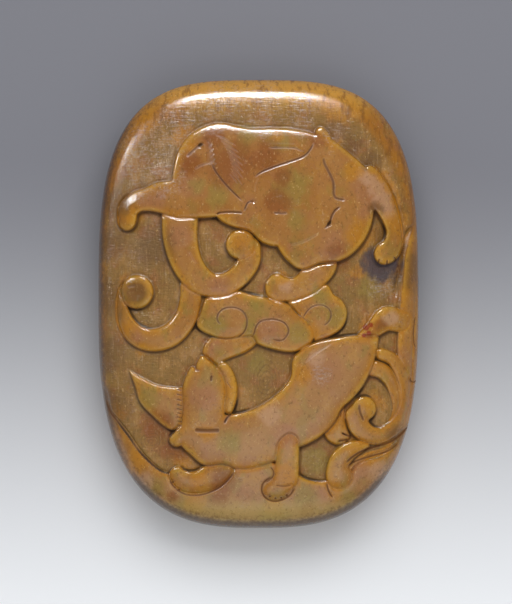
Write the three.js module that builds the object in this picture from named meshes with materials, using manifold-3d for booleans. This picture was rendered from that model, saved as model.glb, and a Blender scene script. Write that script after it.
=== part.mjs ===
// Carved ivory pendant: a flattened, rounded block with two crouching beasts, clouds and
// scrolls in relief on its front, a plain polished back and a bore for a cord.
//
// Frame: millimetres. The pendant lies on its back with the carving up (+Z). The end that
// hangs uppermost is +Y and the beholder's right is +X. The origin is on the underside,
// below the middle of the outline.

import * as THREE from 'three';
import { mergeVertices } from 'three/addons/utils/BufferGeometryUtils.js';
import Module from 'manifold-3d';

const wasm = await Module();
wasm.setup();

// Block
const blockLength = 56;
const blockWidth = 40;
const blockThickness = 14;
const restingFlatCut = 0.35;
const upperSquareness = 3.3;
const lowerSquareness = 2.85;
const sectionFullness = 2.5;

// Relief: how far each level lies under the surface of the uncarved block
const groundDepth = 1.3;
const middleLevelDepth = 0.3;
const lowLevelDepth = 0.6;
const rimWidth = 2;
const coveWidth = 2;
const seamDive = 0.04;

// Chisel work
const grooveWidth = 0.5;
const grooveDepth = 0.35;
const fineGrooveWidth = 0.3;
const fineGrooveDepth = 0.2;
const pitDiameter = 0.6;
const pitDepth = 0.45;

// Cord tunnel: two slanting bores in the back that meet inside the block
const boreDiameter = 2.6;
const boreSpread = 5.2;
const boreFromUpperEnd = 11;
const boreMeetingHeight = 5.8;

// Facets
const sectorCount = 64;
const outlineStep = 1.2;
const ribbonStep = 1.3;
const grooveStep = 1.1;
const capSteps = 6;
const discSides = 20;
const boreSides = 18;
const weldDistance = 0.001;
const sliverWidth = 0.01;

const halfLength = blockLength / 2;
const halfWidth = blockWidth / 2;
const halfBlank = (blockThickness + restingFlatCut) / 2;
const equatorHeight = blockThickness - halfBlank;

// The carving is drawn on a squared sheet of this many squares, stretched over the block.
const squareCountAlong = 56;
const squareCountAcross = 40;
const alongScale = blockLength / squareCountAlong;
const acrossScale = blockWidth / squareCountAcross;
const sharp = true;

const ivory = new THREE.MeshStandardMaterial({ color: 0xa8742e, roughness: 0.35, metalness: 0 });

// Block surface

// Reach is 0 in the middle of the outline and 1 on it.
function reach(x, y) {
  const squareness = y > 0 ? upperSquareness : lowerSquareness;
  const across = Math.abs(x) / halfWidth;
  const along = Math.abs(y) / halfLength;
  return (across ** squareness + along ** squareness) ** (1 / squareness);
}

function domeRise(share) {
  return halfBlank * Math.max(0, 1 - share ** sectionFullness) ** (1 / sectionFullness);
}

function frontHeight(x, y) {
  return equatorHeight + domeRise(reach(x, y));
}

// Point on the outline shrunk to a share of its size, in the direction of one sector.
function ringPoint(share, sector) {
  const angle = (sector / sectorCount) * 2 * Math.PI;
  const cosine = Math.cos(angle);
  const sine = Math.sin(angle);
  const unitReach = reach(cosine * halfWidth, sine * halfLength);
  return [(share * halfWidth * cosine) / unitReach, (share * halfLength * sine) / unitReach];
}

// Solids

function solidFromGeometry(geometry) {
  const bare = geometry.index ? geometry.toNonIndexed() : geometry.clone();
  bare.deleteAttribute('normal');
  bare.deleteAttribute('uv');
  const merged = mergeVertices(bare, weldDistance);
  return new wasm.Manifold(new wasm.Mesh({
    numProp: 3,
    vertProperties: new Float32Array(merged.attributes.position.array),
    triVerts: new Uint32Array(merged.index.array),
  }));
}

function geometryFromSolid(solid) {
  const mesh = solid.getMesh();
  const geometry = new THREE.BufferGeometry();
  geometry.setAttribute('position', new THREE.BufferAttribute(new Float32Array(mesh.vertProperties), 3));
  geometry.setIndex(new THREE.BufferAttribute(new Uint32Array(mesh.triVerts), 1));
  geometry.computeVertexNormals();
  return geometry;
}

function joined(solids) {
  return solids.reduce((whole, solid) => whole.add(solid));
}

// A closed shell of rings stacked from the top middle to the bottom middle.
function shellFromRings(top, rings, bottom) {
  const positions = [...top];
  for (const ring of rings) {
    for (let sector = 0; sector < sectorCount; sector += 1) {
      const [x, y] = ringPoint(ring.share, sector);
      positions.push(x, y, ring.height);
    }
  }
  positions.push(...bottom);
  const last = 1 + rings.length * sectorCount;
  const faces = [];
  for (let sector = 0; sector < sectorCount; sector += 1) {
    const next = (sector + 1) % sectorCount;
    faces.push(0, 1 + sector, 1 + next);
    for (let level = 0; level + 1 < rings.length; level += 1) {
      const upper = 1 + level * sectorCount;
      const lower = upper + sectorCount;
      faces.push(upper + sector, lower + sector, lower + next);
      faces.push(upper + sector, lower + next, upper + next);
    }
    const foot = last - sectorCount;
    faces.push(foot + sector, last, foot + next);
  }
  const geometry = new THREE.BufferGeometry();
  geometry.setAttribute('position', new THREE.BufferAttribute(new Float32Array(positions), 3));
  geometry.setIndex(faces);
  return solidFromGeometry(geometry);
}

// Front rings: the field reaches full depth at fieldShare and ends at edgeShare.
const edgeShare = 1 - rimWidth / halfWidth;
const fieldShare = edgeShare - coveWidth / halfWidth;
const coveMiddle = (edgeShare + fieldShare) / 2;
const fieldShares = [0.3, 0.55, 0.7].map((part) => part * (fieldShare / 0.8)).concat(fieldShare);
const coveShares = [(fieldShare + coveMiddle) / 2, coveMiddle, (coveMiddle + edgeShare) / 2, edgeShare];
const rimShares = [0.35, 0.65, 0.88, 1].map((part) => edgeShare + part * (1 - edgeShare));

function fieldFade(share) {
  const run = THREE.MathUtils.clamp((edgeShare - share) / (edgeShare - fieldShare), 0, 1);
  return run * run * (3 - 2 * run);
}

// The block sunk to one level inside the field, whole with its back.
function carvedBlank(depth) {
  const rings = [...fieldShares, ...coveShares, ...rimShares].map((share) => ({
    share,
    height: equatorHeight + domeRise(share) - depth * fieldFade(share),
  }));
  for (const share of [0.97, 0.9, 0.8, 0.65]) {
    rings.push({ share, height: equatorHeight - domeRise(share) });
  }
  const flatShare = (1 - (equatorHeight / halfBlank) ** sectionFullness) ** (1 / sectionFullness);
  rings.push({ share: flatShare, height: 0 });
  return shellFromRings([0, 0, equatorHeight + domeRise(0) - depth], rings, [0, 0, 0]);
}

// A slab under one level of the field, which dives under the rim at its edge.
function levelSlab(depth) {
  const rings = [...fieldShares, ...coveShares].map((share) => ({
    share,
    height: equatorHeight + domeRise(share) - depth * fieldFade(share) - seamDive * (1 - fieldFade(share)),
  }));
  const end = coveShares.at(-1) + 0.02;
  rings.push({ share: end, height: equatorHeight + domeRise(end) - 8 * seamDive });
  rings.push({ share: end, height: equatorHeight });
  return shellFromRings([0, 0, equatorHeight + domeRise(0) - depth], rings, [0, 0, equatorHeight]);
}

// Drawing

function placed(x, y) {
  return new THREE.Vector2(x * acrossScale, y * alongScale);
}

function prism(outline) {
  const shape = new THREE.Shape(outline);
  const geometry = new THREE.ExtrudeGeometry(shape, { depth: blockThickness, bevelEnabled: false });
  geometry.translate(0, 0, equatorHeight + seamDive);
  return solidFromGeometry(geometry);
}

// Smooth open run through points, evenly stepped, without its last point.
function smoothRun(points, step) {
  if (points.length === 2) return [points[0]];
  const curve = new THREE.CatmullRomCurve3(points, false, 'centripetal');
  const count = Math.max(points.length - 1, Math.ceil(curve.getLength() / step));
  return curve.getSpacedPoints(count).slice(0, -1);
}

// A figure's outline: smooth through its points, with a corner at each point marked sharp.
function figure(points) {
  const first = points.findIndex((point) => point[2] === sharp);
  const knots = points.map(([x, y]) => {
    const place = placed(x, y);
    return new THREE.Vector3(place.x, place.y, 0);
  });
  if (first < 0) {
    const loop = new THREE.CatmullRomCurve3(knots, true, 'centripetal');
    const count = Math.ceil(loop.getLength() / outlineStep);
    return prism(loop.getSpacedPoints(count).slice(0, -1));
  }
  const outline = [];
  let run = [knots[first]];
  for (let offset = 1; offset <= points.length; offset += 1) {
    const index = (first + offset) % points.length;
    run.push(knots[index]);
    if (points[index][2] === sharp) {
      outline.push(...smoothRun(run, outlineStep));
      run = [knots[index]];
    }
  }
  return prism(outline);
}

function disc(x, y, radius) {
  const middle = placed(x, y);
  const outline = [];
  for (let side = 0; side < discSides; side += 1) {
    const angle = (side / discSides) * 2 * Math.PI;
    outline.push(new THREE.Vector2(
      middle.x + radius * acrossScale * Math.cos(angle),
      middle.y + radius * alongScale * Math.sin(angle),
    ));
  }
  return prism(outline);
}

// A ribbon or limb: stations of x, y and half width, with round ends.
function ribbon(stations) {
  const curve = new THREE.CatmullRomCurve3(
    stations.map(([x, y, radius]) => new THREE.Vector3(x, y, radius)), false, 'centripetal');
  const count = Math.ceil(curve.getLength() / ribbonStep);
  const spine = curve.getSpacedPoints(count);
  const left = [];
  const right = [];
  const headings = spine.map((station, index) => {
    const before = spine[Math.max(0, index - 1)];
    const after = spine[Math.min(count, index + 1)];
    return Math.atan2(after.y - before.y, after.x - before.x);
  });
  spine.forEach((station, index) => {
    const side = headings[index] + Math.PI / 2;
    left.push(placed(station.x + station.z * Math.cos(side), station.y + station.z * Math.sin(side)));
    right.push(placed(station.x - station.z * Math.cos(side), station.y - station.z * Math.sin(side)));
  });
  const cap = (station, heading) => {
    const points = [];
    for (let step = 1; step < capSteps; step += 1) {
      const angle = heading + Math.PI / 2 - (step / capSteps) * Math.PI;
      points.push(placed(station.x + station.z * Math.cos(angle), station.y + station.z * Math.sin(angle)));
    }
    return points;
  };
  const end = cap(spine[count], headings[count]);
  const start = cap(spine[0], headings[0] + Math.PI);
  return prism([...left, ...end, ...right.reverse(), ...start]);
}

// Groove cutter: a V that follows a line over one level of the relief.
function groove(points, level, width = grooveWidth, depth = grooveDepth) {
  const knots = points.map(([x, y]) => {
    const place = placed(x, y);
    return new THREE.Vector3(place.x, place.y, 0);
  });
  const curve = knots.length === 2
    ? new THREE.LineCurve3(knots[0], knots[1])
    : new THREE.CatmullRomCurve3(knots, false, 'centripetal');
  const count = Math.max(2, Math.ceil(curve.getLength() / grooveStep));
  const spine = curve.getSpacedPoints(count);
  const positions = [];
  spine.forEach((point, index) => {
    const heading = curve.getTangentAt(index / count);
    const isEnd = index === 0 || index === count;
    const taper = isEnd ? 0.35 : 1;
    const share = reach(point.x, point.y);
    const surface = frontHeight(point.x, point.y) - level * fieldFade(share);
    const halfTop = width * taper;
    positions.push(point.x - heading.y * halfTop, point.y + heading.x * halfTop, surface + depth * taper);
    positions.push(point.x, point.y, surface - depth * taper);
    positions.push(point.x + heading.y * halfTop, point.y - heading.x * halfTop, surface + depth * taper);
  });
  const faces = [0, 1, 2];
  for (let station = 0; station < count; station += 1) {
    for (let side = 0; side < 3; side += 1) {
      const here = station * 3 + side;
      const beside = station * 3 + ((side + 1) % 3);
      faces.push(here, beside + 3, beside);
      faces.push(here, here + 3, beside + 3);
    }
  }
  faces.push(count * 3, count * 3 + 2, count * 3 + 1);
  const geometry = new THREE.BufferGeometry();
  geometry.setAttribute('position', new THREE.BufferAttribute(new Float32Array(positions), 3));
  geometry.setIndex(faces);
  return solidFromGeometry(geometry);
}

// Pit cutter: a small drilled hollow such as an eye.
function pit(x, y, level) {
  const place = placed(x, y);
  const surface = frontHeight(place.x, place.y) - level;
  const geometry = new THREE.ConeGeometry(pitDiameter, 2 * pitDepth, 7);
  geometry.rotateX(-Math.PI / 2);
  geometry.translate(place.x, place.y, surface);
  return solidFromGeometry(geometry);
}

// Upper beast: head and body in one mass, a foreleg stretched to each side, one hind foot

const upperBody = figure([
  [-10.7, 15.4], [-10.5, 17.2], [-9.9, 19.2], [-8.4, 21.1], [-6.3, 22.25], [-4.6, 22.5],
  [-2.6, 22.1], [-0.8, 21.8], [2.4, 21.85], [5, 21.6], [7, 21.1, sharp], [7.4, 21.9],
  [8.2, 21.8], [9.1, 20.5, sharp], [11.1, 18.9], [13.3, 17, sharp], [14.3, 14.6],
  [14.35, 11.6], [13.7, 9], [12.3, 6.8], [10.2, 5.35], [7.6, 5], [5.3, 4.25], [3.6, 5.3],
  [2.3, 7.1, sharp], [0.4, 7.6], [-1.2, 9], [-2.8, 9.4], [-4.2, 9.95], [-5.2, 10.75, sharp],
  [-7.5, 10.6], [-10, 10.75, sharp],
]);
const stretchedForeleg = ribbon([
  [-16.35, 10.25, 1.17], [-16.15, 11.8, 1.35], [-15, 12.7, 1.35], [-13.5, 13, 1.5],
  [-12, 13.2, 1.95], [-10, 13, 2.2],
]);
const hangingForeleg = figure([
  [12, 16.5, sharp], [13.3, 17, sharp], [14.1, 17.15], [15.3, 16], [16.3, 14.5], [17.1, 12.7],
  [17.7, 10.5], [18.05, 7.8], [17.6, 6.2], [16.5, 5.1], [15.1, 4.95], [14.3, 5.9],
  [14.6, 7.1], [15.6, 8], [15.75, 9.3], [14.4, 11.6, sharp], [13, 12.5, sharp],
]);
const upperHindFoot = figure([
  [1.3, 0.75], [0.8, 2.1], [1.2, 3.2], [2.2, 3.8], [3.3, 3.35], [4.2, 3.2], [5.3, 4.3, sharp],
  [7.3, 4.9], [9.7, 5.4, sharp], [9.5, 4], [8, 2.2], [6.2, 1.05], [3.6, 0.3],
]);

// Scrolls to the left of the clouds

const largeScroll = ribbon([
  [-9.7, 11.2, 2.3], [-9.75, 8.8, 2.2], [-9.4, 6.6, 2.05], [-8.6, 4.6, 1.9], [-7.3, 3, 1.75],
  [-5.6, 2.3, 1.45], [-3.8, 2.55, 1.4], [-2.2, 3.7, 1.35], [-1.2, 5.3, 1.4], [-1.1, 6.9, 1.4],
]);
const largeScrollKnob = disc(-2.2, 7.35, 1.8);
const sideScroll = ribbon([
  [-8.3, 2.3, 1.35], [-8.45, 0.3, 1.35], [-9.1, -1.9, 1.4], [-10.8, -3.8, 1.45],
  [-13.1, -4.5, 1.4], [-15.1, -3.9, 1.3], [-16.5, -2.3, 1.1], [-17.05, -0.2, 0.8],
  [-16.6, 1.6, 0.9],
]);
const sideScrollKnob = disc(-15.1, 1.5, 2.1);

// Clouds between the two beasts

const mainCloud = figure([
  [-6.6, 0.7, sharp], [-5, 1.2], [-2.3, 1.6, sharp], [-0.6, 1.1], [1.4, 0.7], [3.6, 0],
  [4.7, -1.1], [6.2, -2.4], [6.9, -3.9], [6, -5.3], [4, -5.95], [1.4, -5.5],
  [-0.2, -4.9, sharp], [-0.7, -3.9, sharp], [-2.4, -4.05], [-4, -4.25], [-6, -3.85],
  [-7.6, -2.7], [-7.25, -1.2],
]);
const rightCloud = figure([
  [3.5, 0.3, sharp], [5.4, 0.8], [7.7, 2.1], [8.5, 2.35], [9.3, 1.2], [10.3, 0.5],
  [10.95, -0.9], [10.5, -2.7], [9.2, -3.8], [6.9, -4.6, sharp], [6.3, -2.8],
  [5.4, -1.9, sharp], [4.6, -0.9],
]);
const cloudTail = figure([
  [-5.9, -4.1, sharp], [-6.6, -4.9], [-6.9, -6.1], [-5.9, -7], [-5, -7.8, sharp], [-4.1, -7],
  [-1.6, -5.95], [-0.3, -5, sharp], [0.4, -4.2, sharp], [-1, -3.4, sharp],
]);

// Lower beast: body, head with ear and beard, forelegs, and a tail that ends in scrolls

const lowerBody = figure([
  [-3.4, -13.6, sharp], [-1.2, -13.2], [1.2, -12], [3.2, -10.2], [4, -8.8], [4.2, -6.9],
  [5.2, -5.7], [7.1, -4.7], [10, -4.1], [12, -3.9], [14.9, -4.1, sharp], [14.7, -5.8],
  [14.1, -7.8], [13.1, -9.9], [11.6, -11.8], [10.4, -12.9], [9.3, -14.8], [7.4, -16.6],
  [5.1, -17.7, sharp], [4.9, -19.2, sharp], [1.6, -19.6, sharp], [-0.6, -20.3],
  [-2.9, -20.45, sharp], [-4.3, -19.85], [-6.8, -19.95], [-8.3, -18.8], [-9.6, -17.6, sharp],
  [-10.6, -17.6], [-11.1, -16.8], [-10.4, -15.8], [-9.3, -14.6, sharp],
]);
const lowerHead = figure([
  [-9.4, -10.4], [-9.1, -9.3], [-8.2, -7.8, sharp], [-7.7, -6.9], [-7, -6.35], [-6.2, -6.85],
  [-5, -8], [-4.3, -9.2], [-4, -10.8], [-4.2, -12.5], [-4.2, -14.9], [-5, -16.4], [-8, -16.5],
  [-9.7, -15.2, sharp], [-9.35, -13],
]);
const lowerEar = figure([
  [-5.2, -7.9, sharp], [-4.2, -7.2], [-3.1, -8.4], [-2.6, -10.2], [-2.75, -12],
  [-3.4, -13.7, sharp], [-4.6, -13.4, sharp],
]);
const beard = figure([
  [-16.1, -8.2, sharp], [-14.2, -9.25], [-12.4, -10.05], [-9.4, -10.3, sharp], [-9.3, -12.5],
  [-9.6, -15.2, sharp], [-10.4, -15.65], [-11.5, -15.3], [-13.2, -13.85], [-14.7, -12.2],
  [-15.3, -10.3],
]);
const standingForeleg = figure([
  [3.6, -16], [4.6, -16.3], [5, -17.5], [5, -20.5], [4.8, -22.3], [4, -23.2], [2.9, -24.2],
  [1.7, -24.35], [0.7, -23.7], [0.65, -22.8], [1.7, -21.8, sharp], [2.1, -19.5], [2.4, -17.2],
]);
const foldedForeleg = figure([
  [-11.1, -20.9, sharp], [-10, -20.15], [-9.2, -20.6], [-8.2, -20.85], [-6.9, -20.1, sharp],
  [-4.5, -19.8], [-3, -20.4, sharp], [-3.5, -21.4], [-5, -22.8], [-7.2, -23.6], [-9.3, -23.5],
  [-10.7, -22.5],
]);
const lowerHindPaw = figure([
  [10.6, -12.3, sharp], [9.9, -13.9], [8.1, -15.9, sharp], [8.5, -16.8], [9.6, -17.45],
  [10.6, -17.2], [11.4, -16.4, sharp], [10.9, -15.1], [10.65, -13.8],
]);
const tailRoot = ribbon([[13, -4.3, 0.9], [14.4, -3.1, 1.05], [15.9, -1.85, 1.5], [17.6, -2.1, 1.4]]);
const tailStem = ribbon([
  [19.7, 9.3, 0.5], [19.25, 6.5, 0.95], [18.95, 3.5, 0.95], [18.7, 0.5, 1], [18.5, -2.5, 1.05],
  [18.3, -5.5, 1], [18.4, -8.5, 0.8], [18.5, -10.5, 0.65],
]);
const tailScroll = ribbon([
  [15.2, -6.2, 0.75], [16.7, -6.9, 0.8], [17.8, -8.6, 0.8], [18.35, -10.6, 0.6],
  [18.35, -12.6, 0.6], [17.9, -14.3, 0.85], [16.7, -15.8, 1.1], [15.2, -16.45, 1.1],
  [13.7, -16.2, 1.15], [12.5, -15.2, 1.3], [12, -13.4, 1.3],
]);
const tailScrollKnob = disc(13.3, -12.75, 1.3);
const tailInnerStrand = ribbon([
  [13.9, -7.9, 1], [15.3, -8.3, 1], [16.4, -9.4, 0.95], [17.1, -11, 0.8], [17.25, -12.5, 0.65],
  [16.95, -13.7, 0.45], [16.4, -14.5, 0.25],
]);
const tailLowerCurl = ribbon([
  [13.5, -17.55, 0.3], [12.3, -17.75, 0.85], [11, -18.4, 1.15], [10.1, -19.5, 1.35],
  [9.85, -20.6, 1.45], [10, -21.3, 1.5],
]);
const tailLowerKnob = disc(10.1, -21.5, 1.65);
const tailThinStrand = ribbon([
  [11.5, -20.4, 0.25], [12.3, -19.55, 0.4], [13.6, -18.85, 0.45], [15.2, -18.4, 0.45],
  [16.3, -17.8, 0.4], [17.1, -17.1, 0.3],
]);

// Bank of ground along the foot of the block, under both forelegs and the curl

const bankBeyond = 23;
const bankFoot = -31;
const bank = figure([
  [-bankBeyond, -9.6, sharp], [-19.4, -10.4], [-18.6, -13.3], [-17.6, -14.7], [-16.2, -16.5],
  [-15.1, -18.1], [-13.8, -19.5], [-12.5, -20.6], [-11.2, -21.1, sharp], [-3, -20.2, sharp],
  [1.6, -19.5, sharp], [4.9, -21.1, sharp], [6.4, -21.85], [8.4, -22, sharp],
  [11.6, -20.9, sharp], [12.9, -19.65], [15.2, -19.05], [16.5, -18.1], [17.6, -16.5],
  [18.6, -15.4], [bankBeyond, -13, sharp], [bankBeyond, bankFoot, sharp],
  [-bankBeyond, bankFoot, sharp],
]);

const topFigures = [upperBody, stretchedForeleg, lowerBody, lowerHead, standingForeleg];
const middleFigures = [
  hangingForeleg, upperHindFoot, largeScroll, largeScrollKnob, mainCloud, lowerEar, foldedForeleg,
  tailRoot, tailStem, tailScroll, tailScrollKnob, tailLowerCurl, tailLowerKnob, bank,
];
const lowFigures = [
  sideScroll, sideScrollKnob, rightCloud, cloudTail, beard, lowerHindPaw, tailInnerStrand,
  tailThinStrand,
];

// Grooves between the masses and over them

const beardHairs = [-11.1, -11.9, -12.7, -13.4, -14.1, -14.8].map((y) => (
  groove([[-10.1, y], [-9.45, y - 0.1]], lowLevelDepth, fineGrooveWidth, fineGrooveDepth)));
const grooves = [
  // Upper beast: mane, flank, crest, mouth, eyelid, shoulder, hock and thigh
  groove([[-6.4, 20.6], [-6.1, 19.2], [-6, 17.9], [-5.3, 16.4], [-3.9, 14.6], [-2.6, 13.3], [-1.7, 12.4]], 0),
  groove([[6.7, 19.7], [6.2, 18.8], [5.4, 18.15], [3.5, 17.45], [1.5, 16.75], [0, 16.1]], 0),
  groove([[0.9, 19.3], [4.4, 19.3], [5.8, 18.7]], 0, fineGrooveWidth, fineGrooveDepth),
  groove([[-5.3, 10.9], [-4.7, 11.3], [-1.9, 11.2]], 0),
  groove([[-7, 19.8], [-7.5, 19.4], [-9, 18.4]], 0, fineGrooveWidth, fineGrooveDepth),
  groove([[1.7, 11.25], [3.7, 11.2]], 0, fineGrooveWidth, fineGrooveDepth),
  groove([[8, 17.2], [8.8, 16.2], [9.2, 15], [9.25, 13.7], [9.6, 13.1], [10.8, 12.9]], 0),
  groove([[7.9, 9.3], [8.7, 9.9], [9.1, 11], [9.6, 11.7], [10.4, 12.1]], 0),
  // Clouds: one spiral in each lobe, and the seam under the large scroll
  groove([[-2.75, -4.3], [-1.6, -3.3], [-1.4, -2.2], [-2, -1], [-3.4, -0.5], [-4.7, -0.9], [-5.3, -1.8]],
    middleLevelDepth),
  groove([[-0.85, -4.3], [-0.3, -2.4], [1, -1.95], [2.6, -2.1], [3.7, -3.1], [3.3, -4.2], [2.4, -4.45], [1.5, -4]],
    middleLevelDepth),
  groove([[5.6, -1.7], [6.4, -0.6], [7.8, -0.2], [8.8, -1.2], [7.9, -2.5]], lowLevelDepth),
  groove([[-6.5, 0.85], [-4.6, 0.85], [-2.4, 1.5]], middleLevelDepth),
  groove([[1.4, 0.7], [3.6, 0.2], [6.2, 1], [8, 2.2]], middleLevelDepth),
  // Lower beast: haunch, jaw, ear, toes and the tops of the legs
  groove([[10.2, -4.3], [8.4, -5.3], [6.6, -6.5], [5.4, -7.8], [4.8, -9]], 0, grooveWidth, fineGrooveDepth),
  groove([[-8, -15.6], [-6.5, -15.75], [-5.2, -15.8], [-4.6, -16.2]], 0),
  groove([[2.3, -18.6], [2.4, -17.2], [3.6, -16], [4.6, -16.3], [5, -17.5]], 0, fineGrooveWidth, fineGrooveDepth),
  groove([[-9.4, -14.7], [-9.35, -12.5], [-9.3, -10.5]], 0, fineGrooveWidth, fineGrooveDepth),
  groove([[12, -16.5], [12.9, -17.1], [13.9, -17.6], [16, -17.3]], middleLevelDepth),
  ...beardHairs,
];
const pits = [
  pit(-7.25, 19.65, 0), pit(8.75, 9.8, 0), pit(-5.8, -9.3, 0), pit(-9.85, -23, middleLevelDepth),
  pit(2, -24, 0), pit(3.15, -23.6, 0),
];

// One slanting bore, from its mouth in the back to where the pair meets.
function cordBore(side) {
  const meeting = new THREE.Vector3(0, halfLength - boreFromUpperEnd, boreMeetingHeight);
  const mouth = new THREE.Vector3(side * boreSpread, halfLength - boreFromUpperEnd, 0);
  const run = new THREE.Vector3().subVectors(mouth, meeting);
  const reachedPast = boreDiameter;
  const geometry = new THREE.CylinderGeometry(
    boreDiameter / 2, boreDiameter / 2, run.length() + reachedPast, boreSides);
  geometry.translate(0, (run.length() + reachedPast) / 2, 0);
  const upright = new THREE.Vector3(0, 1, 0);
  geometry.applyQuaternion(new THREE.Quaternion().setFromUnitVectors(upright, run.normalize()));
  geometry.translate(meeting.x, meeting.y, meeting.z);
  return solidFromGeometry(geometry);
}

// Assembly

function raised(depth, figures) {
  return levelSlab(depth).intersect(joined(figures));
}

// Chips that two cuts leave loose between them fall away, and facets too narrow to see are
// merged into their neighbours.
function withoutChips(solid) {
  const welded = solidFromGeometry(geometryFromSolid(solid));
  const main = welded.decompose().reduce((kept, piece) => (piece.volume() > kept.volume() ? piece : kept));
  return main.simplify(sliverWidth);
}

const carved = carvedBlank(groundDepth)
  .add(raised(0, topFigures))
  .add(raised(middleLevelDepth, middleFigures))
  .add(raised(lowLevelDepth, lowFigures))
  .subtract(joined([...grooves, ...pits]))
  .subtract(cordBore(-1).add(cordBore(1)));

const pendant = new THREE.Mesh(geometryFromSolid(withoutChips(carved)), ivory);
pendant.name = 'pendant';

const model = new THREE.Group();
model.add(pendant);

export default model;
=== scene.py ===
import math

import bpy
import numpy as np
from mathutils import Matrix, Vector


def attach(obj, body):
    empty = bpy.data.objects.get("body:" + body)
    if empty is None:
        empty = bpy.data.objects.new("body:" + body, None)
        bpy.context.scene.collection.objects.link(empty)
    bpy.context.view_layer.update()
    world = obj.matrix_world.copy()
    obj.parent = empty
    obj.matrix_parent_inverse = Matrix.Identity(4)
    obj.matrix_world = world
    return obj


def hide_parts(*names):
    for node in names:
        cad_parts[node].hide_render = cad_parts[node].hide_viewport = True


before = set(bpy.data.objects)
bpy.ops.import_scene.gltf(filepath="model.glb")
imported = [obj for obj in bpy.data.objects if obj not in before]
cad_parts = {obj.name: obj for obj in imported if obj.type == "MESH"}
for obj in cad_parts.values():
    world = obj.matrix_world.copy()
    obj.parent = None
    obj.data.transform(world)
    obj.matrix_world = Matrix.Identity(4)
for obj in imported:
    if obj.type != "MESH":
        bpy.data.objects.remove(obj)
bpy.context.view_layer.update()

# Block
# One block of ivory, filed to a flattened pebble and polished by hand. All the carving below
# is cut out of it, so the pendant is a single piece. Lengths are in millimetres until the
# mesh is made.

half_width = 20.0
half_length = 28.0
half_blank = 7.175
equator_height = 6.825
upper_squareness = 3.3
lower_squareness = 2.85
section_fullness = 2.5


def reach(x, y):
    """0 in the middle of the outline and 1 on it."""
    squareness = np.where(y > 0, upper_squareness, lower_squareness)
    across = np.abs(x) / half_width
    along = np.abs(y) / half_length
    return (across ** squareness + along ** squareness) ** (1 / squareness)


def dome_rise(share):
    return half_blank * np.clip(1 - share ** section_fullness, 0, None) ** (1 / section_fullness)


def smooth(value, start, end):
    part = np.clip((value - start) / (end - start), 0, 1)
    return part * part * (3 - 2 * part)


# Ground
# The sunk field between the figures: the carver lowered it inside a plain rim and left it
# with a shallow cove all round. The sheet below holds how deep each spot is cut.

sheet_cell = 0.06
sheet_margin = 0.3
ground_depth = 1.3
cove_start = 0.95
cove_end = 0.76

column_x = np.arange(-half_width - sheet_margin, half_width + sheet_margin, sheet_cell)
row_y = np.arange(-half_length - sheet_margin, half_length + sheet_margin, sheet_cell)
sheet_x, sheet_y = np.meshgrid(column_x, row_y)
sheet_reach = reach(sheet_x, sheet_y)

# the rim is narrower along the sides than at the ends, and there the ground reaches further out
side_rim = smooth(np.abs(sheet_x), 12, 18) * smooth(sheet_y, 20, 12)
side_gain = 0.03
field_fade = smooth(sheet_reach - side_gain * side_rim, cove_start, cove_end)

# towards the rim the figures come up flush with it, and the ditches round them run out
flush_share = 0.75
rim_fade = 1 - flush_share * smooth(sheet_reach, 0.86, 0.97)
ditch_loss = 0.8
ditch_fade = 1 - ditch_loss * smooth(sheet_reach, 0.95, 1.0)

# what each spot is: how deep, whether a figure covers it, how far inside one, how dirty a line
depth = ground_depth * field_fade
covered = np.zeros_like(depth)
heart = np.zeros_like(depth)
incised = np.zeros_like(depth)
heart_width = 2.2
full_incision = 0.15

far_away = 50.0
corner = True
line_steps = 9
outline_margin = 2.6
ribbon_margin = 5.0
line_margin = 0.2


def window_round(points, margin):
    """The rows and columns of the sheet that hold these points and a margin round them."""
    low = points[:, :2].min(axis=0) - margin
    high = points[:, :2].max(axis=0) + margin
    rows = slice(*np.searchsorted(row_y, (low[1], high[1])))
    columns = slice(*np.searchsorted(column_x, (low[0], high[0])))
    return rows, columns


def run_through(knots, closed):
    """Smooth line through knots of x and y, with a corner at each knot marked so."""
    places = np.array([knot[:2] for knot in knots], float)
    count = len(places)

    def heading(index, length):
        is_end = not closed and index in (0, count - 1)
        if len(knots[index]) == 3 or is_end:
            return None
        across = places[(index + 1) % count] - places[index - 1]
        return across / np.linalg.norm(across) * length

    line = []
    for index in range(count if closed else count - 1):
        start = places[index]
        end = places[(index + 1) % count]
        chord = end - start
        length = np.linalg.norm(chord)
        leaving = heading(index, length)
        arriving = heading((index + 1) % count, length)
        if leaving is None and arriving is None:
            leaving = arriving = chord
        elif leaving is None:
            leaving = 2 * chord - arriving
        elif arriving is None:
            arriving = 2 * chord - leaving
        for step in range(line_steps):
            u = step / line_steps
            line.append(
                (2 * u ** 3 - 3 * u ** 2 + 1) * start + (u ** 3 - 2 * u ** 2 + u) * leaving
                + (3 * u ** 2 - 2 * u ** 3) * end + (u ** 3 - u ** 2) * arriving)
    if not closed:
        line.append(places[-1])
    return np.array(line)


def outline_field(knots):
    """How far each spot of the sheet lies inside a closed outline, below 0 outside it."""
    loop = run_through(knots, closed=True)
    rows, columns = window_round(loop, outline_margin)
    x = sheet_x[rows, columns]
    y = sheet_y[rows, columns]
    nearest = np.full(x.shape, far_away ** 2)
    inside = np.zeros(x.shape, bool)
    for start, end in zip(loop, np.roll(loop, -1, axis=0)):
        run = end - start
        part = np.clip(((x - start[0]) * run[0] + (y - start[1]) * run[1]) / (run @ run), 0, 1)
        square = (x - start[0] - part * run[0]) ** 2 + (y - start[1] - part * run[1]) ** 2
        nearest = np.minimum(nearest, square)
        if start[1] != end[1]:
            crossed = (start[1] > y) != (end[1] > y)
            inside ^= crossed & (x < start[0] + run[0] * (y - start[1]) / run[1])
    field = np.full(sheet_x.shape, -far_away)
    field[rows, columns] = np.where(inside, 1, -1) * np.sqrt(nearest)
    return field


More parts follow.
